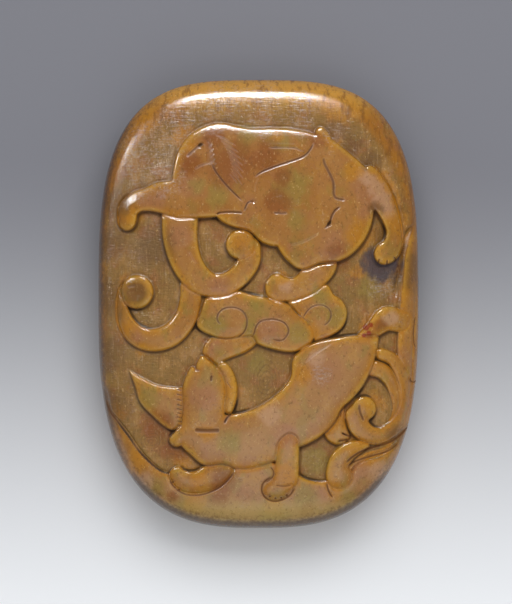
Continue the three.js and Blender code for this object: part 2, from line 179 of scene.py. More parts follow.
def ribbon_field(stations):
    """The same for a band with round ends, through stations of x, y and half width."""
    knots = np.array(stations, float)
    knots = np.vstack([2 * knots[0] - knots[1], knots, 2 * knots[-1] - knots[-2]])
    spine = []
    for before, start, end, after in zip(knots, knots[1:], knots[2:], knots[3:]):
        for step in range(line_steps):
            u = step / line_steps
            spine.append(0.5 * (
                2 * start + (end - before) * u
                + (2 * before - 5 * start + 4 * end - after) * u ** 2
                + (3 * start - before - 3 * end + after) * u ** 3))
    spine.append(knots[-2])
    spine = np.array(spine)
    rows, columns = window_round(spine, ribbon_margin)
    x = sheet_x[rows, columns]
    y = sheet_y[rows, columns]
    best = np.full(x.shape, -far_away)
    for start, end in zip(spine, spine[1:]):
        run = end - start
        part = ((x - start[0]) * run[0] + (y - start[1]) * run[1]) / max(run[:2] @ run[:2], 1e-9)
        part = np.clip(part, 0, 1)
        away = np.hypot(x - start[0] - part * run[0], y - start[1] - part * run[1])
        best = np.maximum(best, start[2] + part * run[2] - away)
    field = np.full(sheet_x.shape, -far_away)
    field[rows, columns] = best
    return field


def disc_field(x, y, radius):
    return radius - np.hypot(sheet_x - x, sheet_y - y)


def merged(first, second, blend=0.5):
    """Two forms grown into one, with the corner between them filled."""
    near = np.clip(1 - np.abs(first - second) / blend, 0, None)
    return np.maximum(first, second) + blend / 4 * near ** 2


def raise_figure(field, level, swell=0.3, swell_width=2.0, edge=0.2, edge_width=0.3,
                 ditch=0.1, ditch_width=0.5, wall=0.2):
    """Leaves a form standing at a level, with a rounded shoulder, and a ditch cut round it."""
    shoulder = np.clip(field / edge_width, 0, 1)
    slope = np.clip(field / swell_width, 0, 1)
    top = level + edge * (1 - np.sqrt(1 - (1 - shoulder) ** 2)) + swell * (1 - slope) ** 2
    under = depth + ditch * ditch_fade * np.clip(1 + field / ditch_width, 0, 1) ** 2
    on = smooth(field, -wall / 2, wall / 2)
    depth[:] = under * (1 - on) + top * rim_fade * on
    covered[:] = covered * (1 - on) + on
    incised[:] *= 1 - on
    heart[:] = heart * (1 - on) + on * np.clip(field / heart_width, 0, 1)


def near_line(knots, margin):
    """The sheet's window round an open line, with distance, share of its run and side in it."""
    line = run_through(knots, closed=False)
    rows, columns = window_round(line, margin)
    x = sheet_x[rows, columns]
    y = sheet_y[rows, columns]
    steps = np.linalg.norm(np.diff(line, axis=0), axis=1)
    done = np.concatenate([[0], np.cumsum(steps)]) / steps.sum()
    nearest = np.full(x.shape, far_away ** 2)
    along = np.zeros(x.shape)
    side = np.zeros(x.shape)
    for index, (start, end) in enumerate(zip(line, line[1:])):
        run = end - start
        part = np.clip(((x - start[0]) * run[0] + (y - start[1]) * run[1]) / (run @ run), 0, 1)
        square = (x - start[0] - part * run[0]) ** 2 + (y - start[1] - part * run[1]) ** 2
        closer = square < nearest
        nearest = np.where(closer, square, nearest)
        along = np.where(closer, done[index] + part * (done[index + 1] - done[index]), along)
        left = run[0] * (y - start[1]) - run[1] * (x - start[0])
        side = np.where(closer, np.sign(left), side)
    return rows, columns, np.sqrt(nearest), along, side


def cut_line(knots, width=0.2, deep=0.18, fade=0.2, dirt=1.0):
    """A V cut along a line, width to each side, that runs out at both ends and holds dirt."""
    rows, columns, away, along, _ = near_line(knots, width + line_margin)
    ends = smooth(along, 0, fade) * smooth(along, 1, 1 - fade)
    groove = np.clip(1 - away / width, 0, 1) ** 1.2 * ends
    depth[rows, columns] += deep * groove
    dark = groove * np.clip(deep / full_incision, 0, 1) * dirt
    incised[rows, columns] = np.maximum(incised[rows, columns], dark)


def fold_line(knots, drop=0.15, width=0.9, low_side=1, fade=0.25):
    """A step: the surface on one side dips under the other along the line."""
    rows, columns, away, along, side = near_line(knots, width + line_margin)
    ends = smooth(along, 0, fade) * smooth(along, 1, 1 - fade)
    signed = away * side * low_side
    dip = np.clip(1 - away / width, 0, 1) ** 2 * smooth(signed, -0.1, 0.08)
    depth[rows, columns] += drop * dip * ends


def dish(x, y, radius, deep, stretch=1.0, turn=0.0):
    """A shallow round or oval hollow, below 0 a swelling."""
    east = (sheet_x - x) * math.cos(turn) + (sheet_y - y) * math.sin(turn)
    north = (sheet_y - y) * math.cos(turn) - (sheet_x - x) * math.sin(turn)
    away = np.hypot(east / (radius * stretch), north / radius)
    depth[:] += deep * np.clip(1 - away ** 2, 0, 1) ** 2


# Bank along the foot
# A low bank of ground under the lower beast, left standing to the outline of the block. Its
# upper edge is cut sharp with one line, and smaller lines break it where the tail comes over.

raise_figure(outline_field([
    (-22, -9.6, corner), (-19.4, -10.4), (-18.6, -13.3), (-17.6, -14.7), (-16.2, -16.5),
    (-15.1, -18.1), (-13.8, -19.5), (-12.5, -20.6), (-11.2, -21.1, corner), (-3, -20.2, corner),
    (1.6, -19.5, corner), (4.9, -21.1, corner), (6.4, -21.85), (8.4, -22, corner),
    (11.6, -20.9, corner), (12.9, -19.65), (15.2, -19.05), (16.5, -18.1), (17.6, -16.5),
    (18.6, -15.4), (22, -13, corner), (22, -31, corner), (-22, -31, corner),
]), level=0.3, swell=0.1, swell_width=1.5, edge=0.22, edge_width=0.5, ditch=0.3)
cut_line([(-19.0, -11.6), (-18.5, -13.3), (-17.5, -14.6), (-16.1, -16.4), (-15.0, -18.0),
          (-13.7, -19.4), (-12.4, -20.5), (-11.3, -21.0)], width=0.2, deep=0.16, fade=0.08)
cut_line([(8.5, -22.0), (8.7, -23.2), (9.4, -24.2)], width=0.2, deep=0.14)
cut_line([(16.9, -16.7), (18.1, -15.7), (18.9, -15.2), (19.4, -14.0)], width=0.18, deep=0.22)

# Tail of the lower beast
# A long tail that leaves the haunch, runs up the right rim as a stem and ends below in two
# curls. Its strands lie on each other like flat ribbons.

raise_figure(ribbon_field([
    (19.7, 9.3, 0.5), (19.25, 6.5, 0.95), (18.95, 3.5, 0.95), (18.7, 0.5, 1.0), (18.5, -2.5, 1.05),
    (18.3, -5.5, 1.0), (18.4, -8.5, 0.8), (18.5, -10.5, 0.65),
]), level=0.25, swell=0.25, swell_width=0.9, edge=0.15, ditch=0.3)
fold_line([(19.4, 9.9), (18.75, 8.0), (18.2, 5.8), (17.8, 3.6), (17.5, 2.0), (17.4, 0.4)],
          drop=0.6, width=1.7, low_side=-1, fade=0.12)
raise_figure(ribbon_field([
    (13.0, -4.3, 0.9), (14.4, -3.1, 1.05), (15.9, -1.85, 1.5), (17.6, -2.1, 1.4),
]), level=0.15, swell=0.35, swell_width=1.4)
raise_figure(ribbon_field([
    (13.9, -7.9, 1.0), (15.3, -8.3, 1.0), (16.4, -9.4, 0.95), (17.1, -11, 0.8),
    (17.25, -12.5, 0.65), (16.95, -13.7, 0.45), (16.4, -14.5, 0.25),
]), level=0.5, swell=0.2, swell_width=0.9, edge=0.2)
raise_figure(outline_field([
    (10.6, -12.3, corner), (9.9, -13.9), (8.1, -15.9, corner), (8.5, -16.8), (9.6, -17.45),
    (10.6, -17.2), (11.4, -16.4, corner), (10.9, -15.1), (10.65, -13.8),
]), level=0.5, swell=0.25, swell_width=1.2)
cut_line([(10.2, -15.9), (10.9, -16.25), (11.5, -16.45)], width=0.22, deep=0.3)
cut_line([(9.7, -17.05), (10.4, -16.9), (11.2, -16.75)], width=0.2, deep=0.25)
raise_figure(merged(ribbon_field([
    (15.2, -6.2, 0.75), (16.7, -6.9, 0.8), (17.8, -8.6, 0.8), (18.35, -10.6, 0.6),
    (18.35, -12.6, 0.6), (17.9, -14.3, 0.85), (16.7, -15.8, 1.1), (15.2, -16.45, 1.1),
    (13.7, -16.2, 1.15), (12.5, -15.2, 1.3), (12, -13.9, 1.3),
]), disc_field(13.1, -12.95, 1.5)), level=0.2, swell=0.3, swell_width=1.2)
dish(13.35, -12.95, 1.2, -0.12)
cut_line([(12.5, -12.2), (12.55, -13.3), (12.9, -14.2), (13.1, -14.7)], width=0.3, deep=0.12)
raise_figure(merged(ribbon_field([
    (13.5, -17.55, 0.3), (12.3, -17.75, 0.85), (11.0, -18.4, 1.15), (10.1, -19.5, 1.35),
    (9.85, -20.6, 1.45), (10.0, -21.2, 1.5),
]), disc_field(10.1, -21.45, 1.65)), level=0.12, swell=0.28, swell_width=1.4)
raise_figure(ribbon_field([
    (11.5, -20.4, 0.25), (12.3, -19.55, 0.4), (13.6, -18.85, 0.45), (15.2, -18.4, 0.45),
    (16.3, -17.8, 0.4), (17.1, -17.1, 0.3),
]), level=0.6, swell=0.1, swell_width=0.5, edge=0.15, ditch=0.15, ditch_width=0.5)

cut_line([(10.7, -19.9), (12.4, -18.45), (14.9, -17.6), (16.8, -16.9), (18.6, -15.3)],
         width=0.24, deep=0.2, fade=0.08)
cut_line([(10.9, -20.4), (11.7, -19.65), (14.0, -18.85), (16.2, -18.2), (17.5, -17.1)],
         width=0.2, deep=0.16, fade=0.1)

# Clouds
# Flat lobed clouds between the beasts, carved from the same block and left almost level. Each
# lobe is closed by one fine incised spiral that has taken up a little dirt.

raise_figure(outline_field([
    (-5.9, -4.1, corner), (-6.6, -4.9), (-6.9, -6.1), (-5.9, -7.0), (-5.0, -7.8, corner),
    (-4.1, -7.0), (-1.6, -5.95), (-0.3, -5.0, corner), (0.4, -4.2, corner), (-1.0, -3.4, corner),
]), level=0.6, swell=0.2, swell_width=1.2)
raise_figure(outline_field([
    (3.5, 0.3, corner), (5.4, 0.8), (7.7, 2.1), (8.5, 2.35), (9.3, 1.2), (10.3, 0.5),
    (10.95, -0.9), (10.5, -2.7), (9.2, -3.8), (6.9, -4.6, corner), (6.3, -2.8),
    (5.4, -1.9, corner), (4.6, -0.9),
]), level=0.42, swell=0.12, swell_width=1.6, edge=0.12, edge_width=0.35)
dish(7.7, -1.3, 1.7, -0.1)
cut_line([
    (5.5, -1.85), (5.85, -1.1), (6.6, -0.36), (7.7, -0.1), (8.65, -0.55), (8.95, -1.3),
    (8.65, -2.2), (7.8, -2.7)], width=0.2, deep=0.12, fade=0.08)
raise_figure(outline_field([
    (-6.6, 0.7, corner), (-5.0, 1.2), (-2.3, 1.6, corner), (-0.6, 1.1), (1.4, 0.7), (3.6, 0.0),
    (4.7, -1.1), (6.2, -2.4), (6.9, -3.9), (6.0, -5.3), (4.0, -5.95), (1.4, -5.5),
    (-0.2, -4.9, corner), (-0.7, -3.9, corner), (-2.4, -4.05), (-4.0, -4.25), (-6.0, -3.85),
    (-7.6, -2.7), (-7.25, -1.2),
]), level=0.28, swell=0.18, swell_width=1.8, edge=0.12, edge_width=0.35)
dish(-3.5, -2.3, 1.9, -0.12, stretch=1.2)
dish(1.6, -3.5, 1.5, -0.12, stretch=1.3)
cut_line([
    (-2.95, -4.15), (-2.0, -3.7), (-1.5, -2.8), (-1.5, -1.65), (-2.15, -0.75), (-3.3, -0.4),
    (-4.4, -0.65), (-5.0, -1.3), (-5.05, -2.05), (-4.4, -2.6)], width=0.21, deep=0.13, fade=0.08)
cut_line([
    (-0.95, -4.15), (-0.58, -3.7), (-0.3, -2.8), (0.26, -2.15), (1.2, -1.9), (2.3, -1.95),
    (3.25, -2.4), (3.7, -3.15), (3.5, -3.9), (2.95, -4.45), (2.1, -4.45), (1.5, -4.1)],
    width=0.21, deep=0.13, fade=0.08)

# Scrolls
# Two scrolls that hang from the upper beast on the left, ribbons of even width with rounded
# shoulders, each rolled up into a round knob that stands a little higher.

raise_figure(ribbon_field([
    (-8.3, 2.3, 1.35), (-8.45, 0.3, 1.35), (-9.1, -1.9, 1.4), (-10.8, -3.8, 1.45),
    (-13.1, -4.5, 1.4), (-15.1, -3.9, 1.3), (-16.5, -2.3, 1.1), (-17.05, -0.2, 0.8),
    (-16.6, 1.6, 0.9),
]), level=0.42, swell=0.3, swell_width=1.4)
raise_figure(disc_field(-15.1, 1.5, 2.1), level=0.3, swell=0.3, swell_width=1.2, ditch=0.18)
dish(-15.2, 1.4, 1.4, 0.2)
cut_line([(-16.3, 2.0), (-15.8, 2.25), (-15.2, 2.2)], width=0.35, deep=0.14, dirt=0.5)
raise_figure(ribbon_field([
    (-9.7, 11.2, 2.3), (-9.75, 8.8, 2.2), (-9.4, 6.6, 2.05), (-8.6, 4.6, 1.9), (-7.3, 3.0, 1.75),
    (-5.6, 2.3, 1.45), (-3.8, 2.55, 1.4), (-2.2, 3.7, 1.35), (-1.2, 5.3, 1.4), (-1.1, 6.9, 1.4),
]), level=0.2, swell=0.32, swell_width=1.8, ditch=0.2)
raise_figure(disc_field(-2.2, 7.35, 1.85), level=0.15, swell=0.25, swell_width=1.4, ditch=0.0)
cut_line([(-8.6, 6.6), (-8.1, 5.6), (-7.6, 4.9)], width=0.4, deep=0.08, dirt=0.4)

# Upper beast
# A crouching beast seen from above, its head to the left, its mane cut with short hair lines,
# a foreleg stretched to each side and one hind foot on the clouds.

raise_figure(outline_field([
    (1.3, 0.75), (0.8, 2.1), (1.2, 3.2), (2.2, 3.8), (3.3, 3.35), (4.2, 3.2), (5.3, 4.3, corner),
    (7.3, 4.9), (9.7, 5.4, corner), (9.5, 4.0), (8.0, 2.2), (6.2, 1.05), (3.6, 0.3),
]), level=0.3, swell=0.3, swell_width=1.8, ditch=0.2)
upper_body = outline_field([
    (-10.7, 15.4), (-10.5, 17.2), (-9.9, 19.2), (-8.4, 21.1), (-6.3, 22.25), (-4.6, 22.5),
    (-2.6, 22.1), (-0.8, 21.8), (2.4, 21.85), (5.0, 21.6), (7.0, 21.1, corner), (7.4, 21.9),
    (8.2, 21.8), (9.1, 20.5, corner), (11.1, 18.9), (13.3, 17.0, corner), (14.3, 14.6),
    (14.35, 11.6), (13.7, 9.0), (12.3, 6.8), (10.2, 5.35), (7.6, 5.0), (5.3, 4.25), (3.6, 5.3),
    (2.3, 7.1, corner), (0.4, 7.6), (-1.2, 9.0), (-2.8, 9.4), (-4.2, 9.95),
    (-5.2, 10.75, corner), (-7.5, 10.6), (-10.0, 10.75, corner),
])
left_foreleg = ribbon_field([
    (-16.35, 10.25, 1.17), (-16.15, 11.8, 1.35), (-15.0, 12.7, 1.35), (-13.5, 13.0, 1.5),
    (-12, 13.2, 1.95), (-10, 13.0, 2.3),
])
right_foreleg = outline_field([
    (12.0, 16.5, corner), (13.3, 17.0, corner), (14.1, 17.15), (15.3, 16.0), (16.3, 14.5),
    (17.1, 12.7), (17.7, 10.5), (18.05, 7.8), (17.6, 6.2), (16.5, 5.1), (15.1, 4.95),
    (14.3, 5.9), (14.6, 7.1), (15.6, 8.0), (15.75, 9.3), (14.4, 11.6, corner),
    (13.0, 12.5, corner),
])
raise_figure(merged(merged(upper_body, left_foreleg), right_foreleg, 0.2), level=0.02,
             swell=0.35, swell_width=2.4, edge=0.24, edge_width=0.35, ditch=0.25)

# claws of the right paw, and scratches in the stained ground below it
for claw in (
        [(15.0, 5.7), (14.75, 4.9)], [(15.95, 5.5), (15.9, 4.75)], [(16.8, 5.9), (17.15, 5.3)]):
    cut_line(claw, width=0.18, deep=0.16)
for y in (3.45, 2.85, 2.3, 1.8):
    cut_line([(13.9, y + 0.1), (15.3, y), (16.7, y + 0.05)], width=0.12, deep=0.07)

# mane: a wide valley behind the cheek that narrows to a sharp line, with hair ticks across it
cut_line([(-6.3, 20.7), (-6.1, 19.4), (-6.0, 18.2), (-5.8, 17.0)], width=0.6, deep=0.2, dirt=0.3)
cut_line([(-6.0, 17.9), (-5.3, 16.4), (-3.9, 14.6), (-2.6, 13.3), (-1.7, 12.4)],
         width=0.2, deep=0.24)
hair_from = (-6.2, 20.3)
hair_to = (-5.4, 16.9)
hair_count = 12
for hair in range(hair_count):
    share = hair / (hair_count - 1)
    root_x = hair_from[0] + share * (hair_to[0] - hair_from[0])
    root_y = hair_from[1] + share * (hair_to[1] - hair_from[1])
    slant = 0.25 if hair % 2 else -0.2
    cut_line([(root_x - 0.3, root_y + slant), (root_x + 0.35, root_y - slant)],
             width=0.1, deep=0.08)

# strands of hair that spring from a bowed parting behind the valley and fan out downwards
strand_count = 15
parting_from = (-5.4, 20.9)
parting_bow = 1.7
parting_drop = 4.6
fan_start = 22
fan_spread = 30
long_strand = 2.9
short_strand = 2.2
strand_curl = 0.1
for strand in range(strand_count):
    share = strand / (strand_count - 1)
    root_x = parting_from[0] + parting_bow * math.sin(1.9 * share)
    root_y = parting_from[1] - parting_drop * share
    angle = math.radians(-fan_start - fan_spread * share)
    bent = angle + strand_curl
    length = long_strand if strand % 2 else short_strand
    middle = (root_x + 0.5 * length * math.cos(bent), root_y + 0.5 * length * math.sin(bent))
    tip = (root_x + length * math.cos(angle), root_y + length * math.sin(angle))
    cut_line([(root_x, root_y), middle, tip], width=0.15, deep=0.08, fade=0.35)

# eye with its lid, cheek, mouth and nose
dish(-7.6, 19.0, 1.1, 0.1, stretch=1.4, turn=0.6)
dish(-7.15, 19.72, 0.42, 0.34, stretch=1.4, turn=0.3)
cut_line([(-6.9, 19.85), (-7.5, 19.5), (-8.3, 18.8), (-9.0, 18.1)], width=0.3, deep=0.14, dirt=0.8)
cut_line([(-10.1, 15.7), (-9.5, 15.75), (-8.8, 15.65)], width=0.14, deep=0.07)
dish(-7.9, 18.0, 1.3, -0.1, stretch=1.5, turn=0.7)
cut_line([(-6.0, 17.5), (-7.0, 17.2), (-8.0, 16.6)], width=0.3, deep=0.07)
cut_line([(-5.3, 10.9), (-4.7, 11.3), (-1.8, 11.25)], width=0.24, deep=0.24, fade=0.12)
cut_line([(-1.85, 11.3), (-1.6, 12.0), (-1.2, 12.6), (-0.4, 12.6)], width=0.2, deep=0.14)
dish(-0.6, 12.65, 0.3, 0.2, stretch=1.5)

# crest over the back, folds of the shoulder, pocket behind the elbow
fold_line([(6.8, 19.9), (6.2, 18.8), (5.4, 18.15), (3.5, 17.45), (1.5, 16.75), (0.0, 16.1)],
          drop=0.13, width=1.0, low_side=-1)
cut_line([(6.9, 20.2), (6.2, 18.85), (5.4, 18.2), (3.5, 17.5), (1.5, 16.8), (0.0, 16.1),
          (-0.5, 15.4)], width=0.2, deep=0.16, fade=0.1)
cut_line([(0.9, 19.3), (4.4, 19.3), (5.3, 18.95), (6.0, 18.7)], width=0.16, deep=0.1)
cut_line([(0.6, 19.6), (4.4, 19.6), (5.3, 19.3)], width=0.2, deep=-0.06)
cut_line([(0.2, 15.8), (-0.3, 15.0), (-0.4, 13.6)], width=0.3, deep=0.06, dirt=0.5)
cut_line([(8.05, 18.3), (8.15, 17.4), (8.6, 16.5), (9.25, 15.0), (9.3, 13.6), (9.6, 13.1),
          (10.9, 12.9)], width=0.32, deep=0.2, fade=0.08, dirt=0.75)
cut_line([(7.9, 9.2), (8.7, 9.9), (9.1, 11.0), (9.6, 11.7), (10.4, 12.1)], width=0.24, deep=0.22)
dish(8.7, 9.95, 0.5, 0.3, stretch=1.3)
cut_line([(3.6, 7.2), (5.3, 7.6), (6.6, 8.2), (7.7, 9.0)], width=0.3, deep=0.08, dirt=0.6)
cut_line([(12.0, 15.6), (12.1, 13.5), (12.0, 11.5), (11.7, 9.4)], width=0.35, deep=0.06, dirt=0.0)
cut_line([(1.7, 11.25), (3.7, 11.2)], width=0.16, deep=0.16)
dish(4.9, 12.4, 0.3, 0.1)

# Lower beast
# A second beast with its head turned back to the left, a beard cut with ticks at its root,
# one foreleg folded, the other standing, and the haunch raised to the tail.

raise_figure(outline_field([
    (-16.1, -8.2, corner), (-14.2, -9.25), (-12.4, -10.05), (-9.4, -10.3, corner),
    (-8.9, -12.5), (-9.4, -15.2, corner), (-10.4, -15.65), (-11.5, -15.3), (-13.2, -13.85),
    (-14.7, -12.2), (-15.3, -10.3),
]), level=0.4, swell=0.25, swell_width=1.6)
raise_figure(outline_field([
    (-11.1, -20.9, corner), (-10.0, -20.15), (-9.2, -20.6), (-8.2, -20.85),
    (-6.9, -20.1, corner), (-4.5, -19.6), (-3.0, -20.2, corner), (-3.5, -21.4), (-5.0, -22.8),
    (-7.2, -23.6), (-9.3, -23.5), (-10.7, -22.5),
]), level=0.3, swell=0.3, swell_width=1.6, ditch=0.22)
cut_line([(-11.05, -21.3), (-10.65, -22.5), (-9.3, -23.55), (-7.2, -23.7), (-5.0, -22.85),
          (-3.5, -21.5), (-2.95, -20.5)], width=0.2, deep=0.14, fade=0.1)


def punch_toes(*places):
    """A row of short punched dots between the toes."""
    half = 0.12
    for x, y in places:
        cut_line([(x, y + half), (x, y - half)], width=0.24, deep=0.2, fade=0.02)


punch_toes((-10.6, -22.1), (-9.85, -23.05))
raise_figure(outline_field([
    (-5.2, -7.9, corner), (-4.2, -7.2), (-3.1, -8.4), (-2.6, -10.2), (-2.75, -12.0),
    (-3.4, -13.7, corner), (-4.6, -13.4, corner),
]), level=0.22, swell=0.2, swell_width=0.8)
lower_body = outline_field([
    (-3.4, -13.6, corner), (-1.2, -13.2), (1.2, -12.0), (3.2, -10.2), (4.0, -8.8), (4.2, -6.9),
    (5.2, -5.7), (7.1, -4.7), (10.0, -4.1), (12.0, -3.9), (14.9, -4.1, corner), (14.7, -5.8),
    (14.1, -7.8), (13.1, -9.9), (11.6, -11.8), (10.4, -12.9), (9.3, -14.8), (7.4, -16.6),
    (5.1, -17.7, corner), (4.9, -19.2, corner), (1.6, -19.6, corner), (-0.6, -20.3),
    (-2.9, -20.45, corner), (-4.3, -19.85), (-6.8, -19.95), (-8.3, -18.8),
    (-9.6, -17.6, corner), (-10.6, -17.6), (-11.1, -16.8), (-10.4, -15.8),
    (-9.3, -14.6, corner),
])
lower_head = outline_field([
    (-9.4, -10.4), (-9.15, -9.3), (-8.65, -8.2), (-8.25, -7.75), (-7.75, -8.1, corner),
    (-7.6, -7.2), (-7.0, -6.4),
    (-6.2, -6.85), (-5.0, -8.0), (-4.3, -9.2), (-4.0, -10.8), (-4.2, -12.5), (-4.2, -14.9),
    (-5.0, -16.4), (-8.0, -16.5), (-9.7, -15.2, corner), (-9.35, -13),
])
raise_figure(merged(lower_body, lower_head, 0.3), level=0.0, swell=0.4, swell_width=2.6,
             edge=0.24, edge_width=0.35, ditch=0.25)
tick_heights = (-10.6, -11.2, -11.85, -12.5, -13.0, -13.5, -14.0, -14.5, -15.0)
for y in tick_heights:
    cut_line([(-10.15, y + 0.05), (-9.45, y - 0.1)], width=0.13, deep=0.14, fade=0.1)
fold_line([(-10.2, -10.4), (-10.15, -12.6), (-10.3, -15.3)], drop=0.1, width=0.5, low_side=1)
cut_line([(-5.75, -8.85), (-5.85, -9.2), (-5.8, -9.55)], width=0.26, deep=0.2, fade=0.05)
cut_line([(-7.9, -8.05), (-7.6, -8.2), (-7.2, -8.2)], width=0.18, deep=0.1)
cut_line([(-8.0, -15.55), (-6.5, -15.65), (-4.7, -15.6)], width=0.45, deep=0.18, fade=0.1)
cut_line([(-4.0, -9.5), (-3.7, -9.9), (-3.3, -10.5)], width=0.16, deep=0.1)
cut_line([(-3.2, -13.5), (-3.9, -14.1), (-4.25, -14.9)], width=0.26, deep=0.25)
dish(-6.9, -12.0, 2.0, -0.08, stretch=0.8)
fold_line([(10.6, -4.2), (8.4, -5.3), (6.6, -6.5), (5.4, -7.8), (4.7, -9.3)],
          drop=0.07, width=1.2, low_side=-1, fade=0.2)
cut_line([(9.6, -4.6), (8.0, -5.5), (6.6, -6.5), (5.4, -7.8)], width=0.3, deep=0.05, fade=0.3)
raise_figure(outline_field([
    (3.6, -16.0), (4.6, -16.3), (5.0, -17.5), (5.0, -20.5), (4.8, -22.3), (4.0, -23.2),
    (2.9, -24.2), (1.7, -24.35), (0.7, -23.7), (0.65, -22.8), (1.7, -21.8, corner),
    (2.1, -19.5), (2.4, -17.2),
]), level=0.05, swell=0.22, swell_width=1.2, edge=0.12, edge_width=0.4, ditch=0.1)
cut_line([(1.1, -20.0), (1.8, -20.6), (1.8, -21.3), (1.2, -21.9), (0.5, -22.2)],
         width=0.18, deep=0.12)
cut_line([(1.9, -22.35), (3.0, -22.55), (4.3, -22.35)], width=0.22, deep=0.1)
cut_line([(1.85, -21.4), (0.8, -21.95), (0.4, -22.8), (0.65, -23.8), (1.5, -24.4), (2.6, -24.4),
          (3.9, -23.7), (4.45, -22.6)], width=0.2, deep=0.14, fade=0.08)
punch_toes((1.4, -23.9), (2.1, -24.05), (2.8, -24.0), (3.5, -23.7))

# Right flank
# Where the carving turns over the edge, a few shallow lines of a scroll run down the side.
# Then all cuts get shallower close to the block's widest line, where handling wore them away.

cut_line([(19.75, -1.2), (19.4, -2.2), (19.3, -4.5), (19.75, -5.8)], width=0.16, deep=0.2)
cut_line([(18.9, -8.9), (19.15, -9.7), (19.9, -9.2)], width=0.14, deep=0.2)
edge_wear = 0.8
depth *= 1 - edge_wear * smooth(sheet_reach, 0.968, 1.0)


# Mesh
# The block's front and back as one closed skin of ivory. The front is pushed in by the sheet,
# the back stays plain and polished, and the cord tunnel is drilled into it from two mouths.

def blurred(values, radius):
    count = int(3 * radius / sheet_cell)
    weights = np.exp(-0.5 * (np.arange(-count, count + 1) * sheet_cell / radius) ** 2)
    weights /= weights.sum()
    for axis in (0, 1):
        padding = [(0, 0), (0, 0)]
        padding[axis] = (count, count)
        padded = np.pad(values, padding, mode="edge")
        values = sum(
            weight * np.take(padded, range(shift, shift + values.shape[axis]), axis=axis)
            for shift, weight in enumerate(weights))
    return values


def sampled(values, x, y):
    column = np.clip((x - column_x[0]) / sheet_cell, 0, len(column_x) - 1.001)
    row = np.clip((y - row_y[0]) / sheet_cell, 0, len(row_y) - 1.001)
    left = column.astype(int)
    below = row.astype(int)
    east = column - left
    north = row - below
    return ((values[below, left] * (1 - east) + values[below, left + 1] * east) * (1 - north)
            + (values[below + 1, left] * (1 - east) + values[below + 1, left + 1] * east) * north)


skin_cells = 440
most_triangles = 196000
mean_half = (half_width + half_length) / 2

profile = np.linspace(0, 1, 4000) ** 0.5
profile_run = np.concatenate([[0], np.cumsum(np.hypot(
    np.diff(profile) * mean_half, np.diff(dome_rise(profile))))])
steps = np.linspace(-1, 1, skin_cells + 1)
grid_u, grid_v = np.meshgrid(steps, steps)
ring = np.maximum(np.abs(grid_u), np.abs(grid_v))
grid_share = np.interp(ring, profile_run / profile_run[-1], profile)
square_reach = reach(grid_u * half_width, grid_v * half_length)
shrink = np.divide(grid_share, square_reach, out=np.zeros_like(ring), where=square_reach > 0)
grid_x = grid_u * half_width * shrink
grid_y = grid_v * half_length * shrink
on_edge = ring > 1 - 0.5 / skin_cells
grid_share[on_edge] = 1
rise = dome_rise(grid_share)

squareness = np.where(grid_y > 0, upper_squareness, lower_squareness)
safe_share = np.maximum(grid_share, 1e-6)
pull = section_fullness * safe_share ** (section_fullness - squareness)
slope_x = pull * np.sign(grid_x) * (np.abs(grid_x) / half_width) ** (squareness - 1) / half_width
slope_y = pull * np.sign(grid_y) * (np.abs(grid_y) / half_length) ** (squareness - 1) / half_length
slope_z = section_fullness * (rise / half_blank) ** (section_fullness - 1) / half_blank
normal = np.stack([slope_x, slope_y, slope_z], axis=-1)
normal /= np.linalg.norm(normal, axis=-1, keepdims=True)
towards_normal = smooth(grid_share, 0.8, 0.95)[..., None]
inward = normal * towards_normal + np.array([0, 0, 1]) * (1 - towards_normal)
inward /= np.linalg.norm(inward, axis=-1, keepdims=True)
front = np.stack([grid_x, grid_y, equator_height + rise], axis=-1)
front -= inward * sampled(depth, grid_x, grid_y)[..., None]

resting_blend = 0.12
plain_back = equator_height - rise
below = np.clip(plain_back + resting_blend, 0, None)
back_height = np.where(np.abs(plain_back) < resting_blend, below ** 2 / (4 * resting_blend),
                       np.maximum(plain_back, 0))

# the two mouths of the cord tunnel, rounded by the cord's wear
bore_diameter = 2.6
bore_spread = 5.2
bore_y = 17.0
bore_meeting_height = 5.8
mouth_stretch = 1.25
mouth_wear_width = 0.9
mouth_wear = 0.45
for side in (-1, 1):
    away = np.hypot((grid_x - side * bore_spread) / mouth_stretch, grid_y - bore_y)
    worn = np.clip(1 - (away - bore_diameter / 2) / mouth_wear_width, 0, 1) ** 2
    back_height = back_height + mouth_wear * worn
back = np.stack([grid_x, grid_y, back_height], axis=-1)

side_count = skin_cells + 1
front_index = np.arange(side_count ** 2).reshape(side_count, side_count)
back_index = np.full((side_count, side_count), -1)
back_index[on_edge] = front_index[on_edge]
back_index[~on_edge] = side_count ** 2 + np.arange((~on_edge).sum())
places = np.concatenate([front.reshape(-1, 3), back[~on_edge]]) * 0.001


def quads(index, turned):
    corners = [index[:-1, :-1], index[:-1, 1:], index[1:, 1:], index[1:, :-1]]
    if turned:
        corners.reverse()
    return np.stack(corners, axis=-1).reshape(-1, 4)


faces = np.concatenate([quads(front_index, False), quads(back_index, True)])
skin = bpy.data.meshes.new("pendant_carving")
skin.vertices.add(len(places))
skin.vertices.foreach_set("co", places.ravel())
skin.loops.add(faces.size)
skin.loops.foreach_set("vertex_index", faces.ravel())
skin.polygons.add(len(faces))
skin.polygons.foreach_set("loop_start", np.arange(len(faces)) * 4)
skin.update(calc_edges=True)
carving = bpy.data.objects.new("pendant_carving", skin)
bpy.context.scene.collection.objects.link(carving)

thinned = carving.modifiers.new("thinned", "DECIMATE")
thinned.ratio = min(1.0, most_triangles / (2 * len(faces)))

bore_sides = 48
bore_overrun = 1.6
past_meeting = 0.0008


